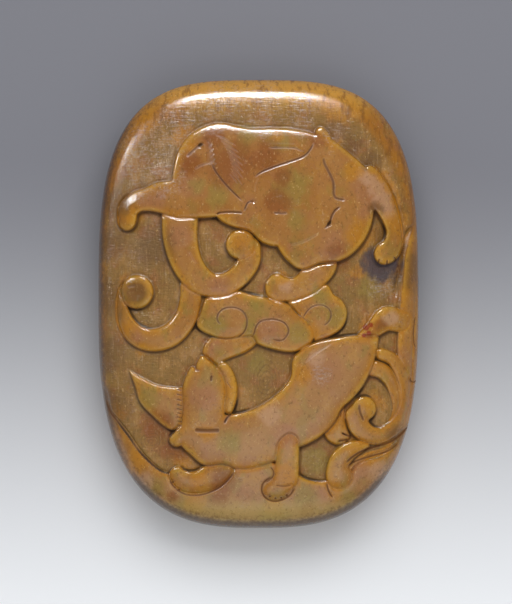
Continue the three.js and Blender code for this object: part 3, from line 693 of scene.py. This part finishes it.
def bore_mesh(side):
    """One slanting bore, from below its mouth in the back to just past where the pair meets."""
    meeting = Vector((0, bore_y, bore_meeting_height)) * 0.001
    mouth = Vector((side * bore_spread, bore_y, 0)) * 0.001
    run = (mouth - meeting) * bore_overrun
    sides = bore_sides
    bore_faces = [[(turn + 1) % sides, turn, sides + turn, sides + (turn + 1) % sides]
                  for turn in range(sides)]
    turned = run.to_track_quat("Z", "Y")
    ring_points = []
    for end in (Vector((0, 0, -past_meeting)), Vector((0, 0, run.length))):
        for turn in range(sides):
            angle = turn / sides * 2 * math.pi
            spoke = Vector((math.cos(angle), math.sin(angle), 0)) * bore_diameter / 2 * 0.001
            ring_points.append(meeting + turned @ (spoke + end))
    bore_faces.append(list(range(sides)))
    bore_faces.append(list(range(2 * sides - 1, sides - 1, -1)))
    mesh = bpy.data.meshes.new("bore")
    mesh.from_pydata(ring_points, [], bore_faces)
    mesh.update()
    return mesh


cutters = []
for side in (-1, 1):
    cutter = bpy.data.objects.new("bore_cutter", bore_mesh(side))
    bpy.context.scene.collection.objects.link(cutter)
    cutters.append(cutter)
    cut = carving.modifiers.new("bore", "BOOLEAN")
    cut.object = cutter
    cut.operation = "DIFFERENCE"
    cut.solver = "MANIFOLD"

depsgraph = bpy.context.evaluated_depsgraph_get()
finished = bpy.data.meshes.new_from_object(carving.evaluated_get(depsgraph))
carving.modifiers.clear()
carving.data = finished
finished.name = "pendant_carving"
for cutter in cutters:
    bpy.data.objects.remove(cutter)
finished.polygons.foreach_set("use_smooth", np.ones(len(finished.polygons), bool))

# what the eye reads on the surface, one value for each vertex
vertex_count = len(finished.vertices)
spots = np.empty(vertex_count * 3)
finished.vertices.foreach_get("co", spots)
spots = spots.reshape(-1, 3) * 1000
front_share = smooth(spots[:, 2], equator_height - 3.5, equator_height)
near_depth = blurred(depth, 0.22)
mean_depth = blurred(depth, 0.5)
in_bore = np.zeros(vertex_count, bool)
wall_slack = 0.03
nose_slack = 1.5
bore_meeting = np.array([0, bore_y, bore_meeting_height])
for side in (-1, 1):
    bore_run = np.array([side * bore_spread, bore_y, 0]) - bore_meeting
    bore_run /= np.linalg.norm(bore_run)
    from_meeting = spots - bore_meeting
    off_axis = np.linalg.norm(from_meeting - np.outer(from_meeting @ bore_run, bore_run), axis=1)
    near_wall = off_axis < bore_diameter / 2 + wall_slack
    in_bore |= near_wall & (spots[:, 2] < bore_meeting_height + nose_slack)

patch_fullness = 0.7


def patches(*discs):
    """Soft round patches of x, y and radius in one sheet."""
    sheet = np.zeros_like(depth)
    for x, y, radius in discs:
        away = np.hypot(sheet_x - x, sheet_y - y) / radius
        sheet = np.maximum(sheet, np.clip(1 - away, 0, 1) ** patch_fullness)
    return sheet


# painted shade mixed with the dirt: cuts and hollows darken most below a wall that rises
# towards the upper end, in the shade of the light from beyond it, and less on its other side
level_shade = 0.45
shade_side_gain = 1.1
least_shade = 0.12
crevice_depth = 0.16
slope_up = np.gradient(blurred(depth, 0.3), sheet_cell, axis=0)
shade_side = np.clip(level_shade - shade_side_gain * slope_up, least_shade, 1)
crevice = np.clip((depth - near_depth) / crevice_depth, 0, 1)
top_polish = 0.05 * smooth(sheet_y, 10, 22)

# each mark: its sheet for the front, and its value on the back
shown = {
    # cut: the dirt in the cuts, with painted shade that is darkest on their shaded side
    "cut": (crevice * shade_side, 0.0),
    "incised": (incised, 0.0),
    "upper_rim": (smooth(sheet_reach, 0.8, 0.9) * smooth(sheet_y, 3, 14) * (1 - covered), 0.0),
    "red_spot": (patches(
        (13.3, -2.9, 0.5), (13.9, -2.6, 0.4), (13.65, -3.6, 0.4), (13.05, -3.9, 0.35),
    ), 0.0),
    # painted shadow, nearly black, in the crevices at the listed spots
    "crevice_shadow": (crevice * patches(
        (-15.6, -1.6, 2.0), (-14.3, -2.9, 1.6), (16.4, -13.0, 1.8), (13.8, -15.0, 1.6),
        (13.0, -11.3, 1.3), (-16.5, -16.0, 2.2), (-14.0, -19.3, 2.2), (-12.0, -20.9, 1.8),
        (-8.6, -20.8, 1.8), (10.5, -3.8, 2.4), (5.4, -1.9, 1.6), (-7.6, -2.8, 1.2),
        (6.4, -21.8, 2.2), (-1.0, 1.5, 1.6), (-2.6, -13.2, 1.8), (-3.8, -14.0, 1.2),
        (-7.15, 19.75, 0.9), (8.7, 9.9, 1.4), (-10.6, -15.8, 1.0), (10.4, -16.4, 1.2),
        (15.0, 9.0, 1.3), (-5.3, 10.8, 0.9), (-1.6, 12.3, 0.9), (0.0, 10.5, 1.0),
    ), 0.0),
    # hollow: the dirt in the hollows, with painted shade that is darkest on their shaded side
    "hollow": (np.clip((depth - mean_depth) / 0.32, 0, 1) * (0.3 + 0.7 * shade_side), 0.0),
    "worn_edge": (np.clip((mean_depth - depth) / 0.3, 0, 1), 0.0),
    "ground": (smooth(sheet_reach + top_polish, 1.0, 0.9) * (1 - covered), 0.0),
    # painted shade on the edge where it turns away, along the foot and up the left side
    "painted_shade_edge": (smooth(sheet_reach, 0.93, 0.985) * np.maximum(
        smooth(sheet_y, -17, -23), 0.8 * smooth(sheet_x, -10, -18)), 0.0),
    "heart": (heart, 0.6),
    "umber": (patches(
        (-15.2, 1.2, 3.0), (-19.0, 1.0, 4.5), (-19.0, -6.0, 4.0), (-18.6, -13.0, 4.0),
        (19.4, 4.0, 4.0), (-13.0, 7.0, 4.0), (-18.0, 12.5, 3.0), (9.5, 21.6, 1.8),
        (11.8, 19.8, 1.9), (14.0, 17.8, 1.8), (15.5, 8.5, 2.0), (-18.5, 8.0, 3.5),
        (14.6, 11.8, 1.4), (17.5, -16.5, 2.4),
    ), 0.0),
    "rust": (patches(
        (-3.2, 17.5, 4.6), (-5.4, 20.6, 2.4), (1.0, 18.2, 3.0), (-8.2, 17.2, 2.2),
        (10.0, 5.8, 2.6), (-4.5, -22.0, 2.4), (-10.5, -18.2, 2.2), (-12.5, -15.0, 3.0),
        (7.0, 20.5, 2.0), (-11.0, 24.5, 3.0), (2.2, 12.6, 2.6), (15.0, -2.8, 1.4),
        (13.6, -3.6, 1.0), (3.0, 15.6, 1.8), (-5.0, -24.6, 1.8), (6.0, -25.6, 1.4),
        (-10.5, -24.0, 1.2),
    ), 0.0),
    "mauve": (patches(
        (12.6, 14.6, 1.8), (13.4, 13.6, 2.0), (14.2, 12.8, 1.8), (15.2, 11.4, 1.5),
        (13.4, 11.2, 1.6), (-13.2, 12.4, 2.4), (-8.3, 14.6, 2.2), (8.0, -8.0, 3.6),
        (-1.6, -23.7, 1.8), (8.2, -24.2, 2.0), (-5.4, -5.6, 1.6), (3.0, -16.2, 2.4),
        (-6.8, -11.5, 2.4), (-9.8, 8.4, 2.4), (-5.0, 2.4, 2.0), (1.2, -3.4, 2.2),
        (-15.4, -4.0, 1.8), (12.5, -20.5, 2.0), (9.0, 7.6, 2.4),
    ), 0.0),
    "olive": (patches(
        (-5.0, 13.2, 2.2), (-7.6, 14.6, 1.6), (2.6, 20.3, 2.4), (-1.4, 20.9, 2.0),
        (5.6, -23.8, 2.4), (-13.4, -23.0, 2.4), (-3.4, -16.8, 2.4), (7.2, -19.4, 2.4),
        (-0.4, -7.2, 2.4), (-13.6, -12.0, 2.0), (4.8, 10.2, 2.2), (4.2, 14.5, 3.2),
        (13.6, 2.2, 2.4), (11.0, -23.5, 2.2), (-5.6, -2.6, 2.2), (1.8, -26.0, 3.0),
        (-9.0, -25.2, 2.6), (5.0, -3.6, 2.0), (9.6, -1.8, 2.0), (-4.6, -6.2, 1.6),
        (0.2, 0.0, 1.8), (7.6, 0.9, 1.8), (-1.2, -2.8, 1.4),
    ), 0.0),
    # pinkish wear; the patch at the tail root, at 16.2 and -1.7, is a painted highlight
    "blush_and_highlight": (patches(
        (12.9, 15.9, 1.4), (13.7, 15.2, 1.8), (14.5, 14.4, 1.9), (15.2, 13.4, 1.8),
        (15.8, 12.3, 1.6), (16.2, 11.2, 1.3), (16.2, -1.7, 1.4), (3.4, 2.2, 1.2),
        (1.5, -13.6, 2.2), (7.2, -6.8, 1.6), (-14.0, -22.0, 1.6), (15.0, -20.9, 2.0),
    ), 0.0),
    "amber": (patches(
        (-8.9, 20.6, 2.4), (12.8, 8.5, 3.0), (-15.8, 11.0, 1.8), (-4.3, 10.9, 1.4),
        (-2.6, 7.9, 1.8), (14.3, -12.0, 2.2), (12.0, -17.8, 1.8), (-9.6, -18.9, 2.2),
        (3.6, -21.4, 2.6), (-3.2, -10.6, 1.6), (16.9, 9.8, 2.4), (9.2, 20.4, 1.6),
        (-16.6, 2.8, 1.4), (13.4, -3.0, 1.6), (5.4, -8.6, 2.0), (-1.4, -5.6, 1.4),
        (-6.4, -15.9, 1.8), (-7.0, -21.8, 2.2), (-14.6, 23.0, 3.0), (10.0, 24.5, 3.0),
        (12.3, 4.0, 1.4), (3.0, 3.2, 1.2), (11.6, 16.4, 1.8), (14.3, 16.7, 1.1),
        (15.4, 15.8, 1.1), (16.3, 14.5, 1.1), (17.1, 12.8, 1.1), (17.6, 10.8, 1.3),
        (-16.2, -3.4, 1.6), (-8.0, -25.0, 2.2), (13.2, -3.2, 1.0), (14.3, -1.9, 1.0),
        (15.5, -0.8, 1.0), (-14.5, -5.6, 1.2), (2.4, 20.9, 1.2), (-15.5, -19.8, 2.2),
        (9.5, -23.2, 1.8), (2.0, -25.2, 1.8), (-17.6, -13.6, 1.8), (18.9, 8.2, 1.3),
        (18.6, 6.2, 1.4), (18.4, 4.0, 1.4), (18.3, 1.8, 1.4),
    ), 0.0),
    # scuffed ground and upper rim, with a painted bluish sheen on them
    "scuffs_and_sheen": (patches(
        (-13.4, 18.6, 4.6), (-12.2, 16.0, 3.6), (-9.5, 22.6, 3.4), (-5.0, 23.2, 2.8),
        (0.5, 22.9, 2.6), (5.5, 22.6, 2.4), (-15.0, 14.8, 2.6), (7.8, -8.6, 1.6),
        (9.0, 21.0, 1.4), (-4.5, 24.7, 3.2), (0.5, 24.8, 3.2), (5.5, 24.5, 2.6), (15.5, 2.2, 2.2),
    ), 0.0),
}
for name, (sheet, elsewhere) in shown.items():
    attribute = finished.attributes.new(name, "FLOAT", "POINT")
    found = elsewhere + (sampled(sheet, spots[:, 0], spots[:, 1]) - elsewhere) * front_share
    # inside the bores the hollows and crevices are painted fully shaded
    if name in ("hollow", "crevice_shadow"):
        found[in_bore] = 1.0
    attribute.data.foreach_set("value", found.astype(np.float32))


# Ivory
# Ivory, cut with gravers and rubbed to a waxy polish, then stained honey brown by handling.
# To the eye: a soft translucent gloss, amber along worn edges, pinkish on broad middles,
# darker and duller on the ground, dark brown where dirt sits in the cuts. Painted shade darkens
# the cuts and hollows further, to nearly black on their shaded side; painted light brightens a
# band along the upper rim and one along the foot, and a painted bluish sheen lies on scuffs.

def linear(code):
    values = [int(code[start:start + 2], 16) / 255 for start in (1, 3, 5)]
    return [v / 12.92 if v <= 0.04045 else ((v + 0.055) / 1.055) ** 2.4 for v in values] + [1.0]


def add(tree, kind, inputs, **settings):
    """Adds a node with its settings, its input values and the sockets that feed it."""
    made = tree.nodes.new(kind)
    for name, value in settings.items():
        setattr(made, name, value)
    for name, value in inputs.items():
        if isinstance(value, bpy.types.NodeSocket):
            tree.links.new(value, made.inputs[name])
        else:
            made.inputs[name].default_value = value
    return made


def per_mm(x, y, z):
    """Mapping scale for a pattern whose features measure so many millimetres."""
    return (1000 / x, 1000 / y, 1000 / z)


ivory = bpy.data.materials.new("polished_stained_ivory")
ivory.use_nodes = True
tree = ivory.node_tree
tree.nodes.clear()
place = add(tree, "ShaderNodeTexCoord", {}).outputs["Object"]
mark = {name: add(tree, "ShaderNodeAttribute", {}, attribute_name=name).outputs["Fac"]
        for name in shown}
along_y = add(tree, "ShaderNodeSeparateXYZ", {"Vector": place}).outputs["Y"]

# cloudy patterns: the size of a blotch in millimetres, detail, contrast and turn. Real polishing
# scratches are hundredths of a millimetre wide, too fine to show, so they are drawn 0.1 mm wide.
pattern = {}
for name, size, detail, rough, turn in (
        ("broad", (7, 9, 7), 4, 0.6, 0.3),
        ("blotch", (2.2, 3.0, 2.6), 5, 0.65, -0.4),
        ("mauve_cloud", (2.6, 2.2, 2.6), 5, 0.6, 1.1),
        ("olive_cloud", (2.4, 3.4, 2.6), 5, 0.6, 2.0),
        ("speckle", (0.45, 0.5, 0.5), 4, 0.75, 0.9),
        ("pale_speckle", (0.3, 0.42, 0.3), 3, 0.7, 2.3),
        ("grain", (0.4, 5.0, 0.4), 4, 0.6, 0.03),
        ("rim_streak", (0.7, 4.0, 1.5), 4, 0.6, -0.9),
        ("scratch", (0.11, 2.2, 0.3), 2, 0.5, 0.12),
        ("cross_scratch", (2.0, 0.12, 0.3), 2, 0.5, 0.25),
        ("tool_mark", (0.4, 2.2, 0.5), 4, 0.6, -0.2),
        ("chatter", (0.9, 0.24, 0.3), 3, 0.6, -0.35)):
    laid = add(tree, "ShaderNodeMapping", {
        "Vector": place, "Rotation": (0, 0, turn), "Location": (turn, detail * 0.1, 0),
        "Scale": per_mm(*size)}, vector_type="POINT")
    clouded = add(tree, "ShaderNodeTexNoise", {
        "Vector": laid.outputs[0], "Scale": 1.0, "Detail": detail, "Roughness": rough})
    pattern[name] = clouded.outputs["Fac"]

# growth rings of the tusk, shown where the ground was cut down through them
ring_spacing = 0.42
ring_waver = 1.2
endless = 1e6
rings = 0.0
for name, centre_x, centre_y, stretch, spread in (
        ("middle_rings", 1.0, -9.4, 1.5, 2.6), ("left_rings", -13.4, -17.0, 0.8, 2.4)):
    offset = add(tree, "ShaderNodeVectorMath", {
        0: place, 1: (centre_x / 1000, centre_y / 1000, 0)}, operation="SUBTRACT").outputs[0]
    offset = add(tree, "ShaderNodeVectorMath", {
        0: offset, 1: per_mm(1.0, stretch, endless)}, operation="MULTIPLY").outputs[0]
    away = add(tree, "ShaderNodeVectorMath", {0: offset}, operation="LENGTH").outputs["Value"]
    wavy = add(tree, "ShaderNodeMath", {
        0: pattern["blotch"], 1: ring_waver, 2: away}, operation="MULTIPLY_ADD").outputs[0]
    turns = add(tree, "ShaderNodeMath", {
        0: wavy, 1: 2 * math.pi / ring_spacing}, operation="MULTIPLY").outputs[0]
    wave = add(tree, "ShaderNodeMath", {0: turns}, operation="SINE").outputs[0]
    near = add(tree, "ShaderNodeMapRange", {
        "Value": away, "From Min": spread, "From Max": 0.5 * spread}).outputs[0]
    rings = add(tree, "ShaderNodeMath", {
        0: wave, 1: near, 2: rings}, operation="MULTIPLY_ADD").outputs[0]

# the purple-black stain in the ground below the right paw
stain_centre = (0.0152, 0.0046, 0.0125)
stain_size = (3.0, 2.3, 6)
stain_place = add(tree, "ShaderNodeVectorMath", {
    0: place, 1: stain_centre}, operation="SUBTRACT").outputs[0]
stain_place = add(tree, "ShaderNodeVectorMath", {
    0: stain_place, 1: per_mm(*stain_size)}, operation="MULTIPLY").outputs[0]
stain_away = add(tree, "ShaderNodeVectorMath", {
    0: stain_place}, operation="LENGTH").outputs["Value"]

# patches get ragged edges from the blotches
patch_raggedness = 1.6
for name in ("umber", "rust", "mauve", "olive", "blush_and_highlight", "amber", "scuffs_and_sheen"):
    mark[name] = add(tree, "ShaderNodeMath", {
        0: pattern["blotch"], 1: patch_raggedness, 2: mark[name]},
        operation="MULTIPLY_ADD").outputs[0]
stain_raggedness = 1.8
ragged_stain = add(tree, "ShaderNodeMath", {
    0: pattern["blotch"], 1: stain_raggedness, 2: stain_away},
    operation="MULTIPLY_ADD").outputs[0]
# painted sheen: bluish grey threads where the ground is scuffed
sheen_start = 0.9
sheen_full = 1.4
sheen_share = add(tree, "ShaderNodeMapRange", {
    "Value": mark["scuffs_and_sheen"], "From Min": sheen_start, "From Max": sheen_full}).outputs[0]
sheen_threads = add(tree, "ShaderNodeMath", {
    0: pattern["pale_speckle"], 1: pattern["chatter"]}, operation="MAXIMUM").outputs[0]

patch_start = 1.0
patch_full = 1.6

# coats of colour, each over the ones before: its colour, what it follows, the values between
# which it comes in, how strong it gets, and the mark that it keeps to
coats = (
    ("#9E703E", mark["heart"], 0.15, 0.6, 0.8, None),
    ("#935F22", pattern["broad"], 0.42, 0.58, 0.55, None),
    ("#AE7C28", pattern["blotch"], 0.50, 0.62, 0.5, None),
    ("#986440", pattern["mauve_cloud"], 0.52, 0.66, 0.45, None),
    ("#86702C", pattern["olive_cloud"], 0.52, 0.64, 0.5, None),
    ("#94580A", along_y, 0.002, 0.012, 0.28, None),
    ("#B0906E", along_y, -0.001, -0.009, 0.2, mark["heart"]),
    ("#80602C", mark["ground"], 0.1, 0.9, 0.85, None),
    ("#A0743A", pattern["blotch"], 0.48, 0.60, 0.7, mark["ground"]),
    ("#8E5628", pattern["mauve_cloud"], 0.50, 0.64, 0.6, mark["ground"]),
    ("#9A6646", mark["mauve"], patch_start, patch_full, 0.55, None),
    ("#88742F", mark["olive"], patch_start, patch_full, 0.6, None),
    # pinkish wear, with a painted highlight at the tail root
    ("#B48A68", mark["blush_and_highlight"], patch_start, patch_full, 0.65, None),
    ("#AE7212", mark["amber"], patch_start, patch_full, 0.75, None),
    ("#7E4212", mark["rust"], patch_start, patch_full, 0.7, None),
    ("#62421A", mark["umber"], patch_start, patch_full, 0.65, None),
    ("#BE8E30", mark["worn_edge"], 0.15, 0.9, 0.5, None),
    # painted light: a bright orange band along the top of the upper rim, towards the light
    ("#CC9436", along_y, 0.0225, 0.0265, 0.75, None),
    ("#7A4C16", pattern["rim_streak"], 0.50, 0.66, 0.7, mark["upper_rim"]),
    # painted highlight: a pale band along the foot
    ("#B09658", along_y, -0.0236, -0.0256, 0.6, None),
    # painted bluish sheen on the scuffed ground
    ("#A49084", sheen_threads, 0.46, 0.72, 0.65, sheen_share),
    ("#6A4820", pattern["grain"], 0.47, 0.72, 0.35, mark["ground"]),
    ("#B59468", pattern["scratch"], 0.60, 0.74, 0.35, mark["ground"]),
    ("#5E3C18", pattern["speckle"], 0.53, 0.68, 0.5, None),
    ("#CCA668", pattern["pale_speckle"], 0.58, 0.72, 0.5, None),
    ("#5E3C1A", rings, 0.3, 1.0, 0.35, mark["ground"]),
    # painted shade along the edge turning away at the foot and the left side, speckled, then dark
    ("#5A3A16", pattern["speckle"], 0.42, 0.56, 0.75, mark["painted_shade_edge"]),
    ("#44280E", mark["painted_shade_edge"], 0.5, 1.0, 0.85, None),
    # dirt with painted shade in the hollows and the cuts
    ("#5A3A1C", mark["hollow"], 0.1, 0.9, 0.4, None),
    ("#4A2E14", mark["cut"], 0.12, 0.9, 0.55, None),
    ("#5A361E", mark["incised"], 0.12, 0.7, 0.8, None),
    ("#842A04", mark["red_spot"], 0.1, 0.6, 0.9, None),
    # painted shadow in the crevices
    ("#20120A", mark["crevice_shadow"], 0.1, 0.6, 0.7, None),
    ("#40383E", ragged_stain, 2.05, 1.5, 0.85, mark["ground"]),
)
honey = "#AA701A"
colour = linear(honey)
for code, guide, start, full, strength, keeps_to in coats:
    share = add(tree, "ShaderNodeMapRange", {
        "Value": guide, "From Min": start, "From Max": full, "To Min": 0.0, "To Max": strength},
        interpolation_type="SMOOTHSTEP").outputs[0]
    if keeps_to:
        share = add(tree, "ShaderNodeMath", {
            0: share, 1: keeps_to}, operation="MULTIPLY").outputs[0]
    coat = add(tree, "ShaderNodeMix", {"Factor": share}, data_type="RGBA")
    if isinstance(colour, list):
        coat.inputs["A"].default_value = colour
    else:
        tree.links.new(colour, coat.inputs["A"])
    coat.inputs["B"].default_value = linear(code)
    colour = coat.outputs["Result"]

# a hand polish, uneven with the blotches, duller on the ground, and matt where dirt sits
# and where shade is painted
smoothest = 0.13
least_smooth = 0.2
rough = add(tree, "ShaderNodeMapRange", {
    "Value": pattern["blotch"], "From Min": 0.3, "From Max": 0.7,
    "To Min": smoothest, "To Max": least_smooth}).outputs[0]
for guide, more in ((mark["ground"], 0.08), (mark["cut"], 0.4), (mark["incised"], 1.0),
                    (mark["crevice_shadow"], 0.4), (mark["hollow"], 0.15)):
    rough = add(tree, "ShaderNodeMath", {0: guide, 1: more, 2: rough},
                operation="MULTIPLY_ADD").outputs[0]

# fine relief: how much each pattern stands up everywhere, and how much more on the ground
height = 0.0
for name, everywhere, on_ground in (
        ("scratch", 0.25, 0.35), ("cross_scratch", 0.12, 0.45), ("tool_mark", 0.2, 1.4),
        ("chatter", 0.1, 1.2), ("speckle", 0.25, 0.3)):
    weight = add(tree, "ShaderNodeMath", {0: mark["ground"], 1: on_ground, 2: everywhere},
                 operation="MULTIPLY_ADD").outputs[0]
    height = add(tree, "ShaderNodeMath", {0: pattern[name], 1: weight, 2: height},
                 operation="MULTIPLY_ADD").outputs[0]
ring_relief = 0.12
height = add(tree, "ShaderNodeMath", {
    0: rings, 1: ring_relief, 2: height}, operation="MULTIPLY_ADD").outputs[0]
tool_mark_depth = 0.0001
bump = add(tree, "ShaderNodeBump", {
    "Height": height, "Strength": 0.7, "Distance": tool_mark_depth})

# light goes a little way into ivory, red the furthest
shader = add(tree, "ShaderNodeBsdfPrincipled", {
    "Base Color": colour, "Roughness": rough, "IOR": 1.54, "Normal": bump.outputs[0],
    "Subsurface Weight": 0.12, "Subsurface Radius": (1.0, 0.45, 0.18),
    "Subsurface Scale": 0.0007})
add(tree, "ShaderNodeOutputMaterial", {"Surface": shader.outputs[0]})

carving.data.materials.clear()
carving.data.materials.append(ivory)
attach(carving, "root")
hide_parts("pendant")

# Table
# A plain sheet of matt backdrop paper on which the pendant lies. Its colour runs in an even
# grade from grey at the far end to nearly white, painted light that stands in for the light
# falling off along the paper. It is matt, so it shows no reflection.

grade_starts = 0.02
grade_ends = -0.056
paper = bpy.data.materials.new("backdrop_paper_painted_light")
paper.use_nodes = True
tree = paper.node_tree
tree.nodes.clear()
paper_place = add(tree, "ShaderNodeTexCoord", {}).outputs["Object"]
paper_y = add(tree, "ShaderNodeSeparateXYZ", {"Vector": paper_place}).outputs["Y"]
# painted light: the paper grows brighter towards the foot
painted_light_grade = add(tree, "ShaderNodeMapRange", {
    "Value": paper_y, "From Min": grade_starts, "From Max": grade_ends},
    interpolation_type="SMOOTHSTEP").outputs[0]
paper_colour = add(tree, "ShaderNodeMix", {"Factor": painted_light_grade}, data_type="RGBA")
paper_colour.inputs["A"].default_value = linear("#7C7C82")
paper_colour.inputs["B"].default_value = linear("#FAFBFC")
paper_shader = add(tree, "ShaderNodeBsdfPrincipled", {
    "Base Color": paper_colour.outputs["Result"], "Roughness": 0.9, "Specular IOR Level": 0.2})
add(tree, "ShaderNodeOutputMaterial", {"Surface": paper_shader.outputs[0]})
table_half = 0.9
table_top = -0.00002
table_mesh = bpy.data.meshes.new("table")
table_mesh.from_pydata([
    (-table_half, -table_half, table_top), (table_half, -table_half, table_top),
    (table_half, table_half, table_top), (-table_half, table_half, table_top)], [], [(0, 1, 2, 3)])
table_mesh.materials.append(paper)
table = bpy.data.objects.new("table", table_mesh)
bpy.context.scene.collection.objects.link(table)

# Light
# Two narrow strips, one beyond the upper end and one at the upper left, give the glints along
# the edges. Wide soft boxes beyond, overhead and at the foot light the carving, and the first
# two of them are kept out of its polish, as a photographer flags a box off.

world = bpy.data.worlds.new("studio")
world.use_nodes = True
world_background = world.node_tree.nodes["Background"]
world_background.inputs["Color"].default_value = linear("#C4CAD2")
world_background.inputs["Strength"].default_value = 0.42
bpy.context.scene.world = world

# each box: where it hangs, its two sizes, its watts, whether it lights and whether it glints
light_aim = (0, 0, 0.006)
for name, centre, size, watts, lights, glints in (
        ("upper_strip", (-0.025, 0.34, 0.17), (0.13, 0.026), 2.2, False, True),
        ("left_strip", (-0.30, 0.16, 0.15), (0.05, 0.03), 0.5, False, True),
        ("upper_box", (0.03, 0.3, 0.44), (0.5, 0.3), 1.7, True, False),
        ("overhead_box", (0.0, 0.03, 0.62), (0.6, 0.6), 1.3, True, False),
        ("foot_box", (0.05, -0.34, 0.5), (0.6, 0.4), 0.6, True, True)):
    lamp = bpy.data.lights.new(name, "AREA")
    lamp.shape = "RECTANGLE"
    lamp.size = size[0]
    lamp.size_y = size[1]
    lamp.energy = watts
    box = bpy.data.objects.new(name, lamp)
    box.location = centre
    towards = Vector(light_aim) - Vector(centre)
    box.rotation_euler = towards.to_track_quat("-Z", "Y").to_euler()
    box.visible_diffuse = lights
    box.visible_glossy = glints
    bpy.context.scene.collection.objects.link(box)

# Camera
# Straight above the front, as the photograph shows it, from far off with a long lens. Its
# frame is as high as the photograph, at the scale that the pendant's length gives.

camera = bpy.data.cameras.new("camera")
camera_height = 0.55
view_centre_x = -0.00031
view_centre_y = 0.00025
photo_height = 604
pixels_per_mm = 8
frame_height = photo_height / pixels_per_mm * 0.001
sensor_width = 36
camera.sensor_width = sensor_width
camera.lens = sensor_width * (camera_height - equator_height * 0.001) / frame_height
camera_holder = bpy.data.objects.new("camera", camera)
camera_holder.location = (view_centre_x, view_centre_y, camera_height)
bpy.context.scene.collection.objects.link(camera_holder)
bpy.context.scene.camera = camera_holder
bpy.context.scene.view_settings.view_transform = "Standard"
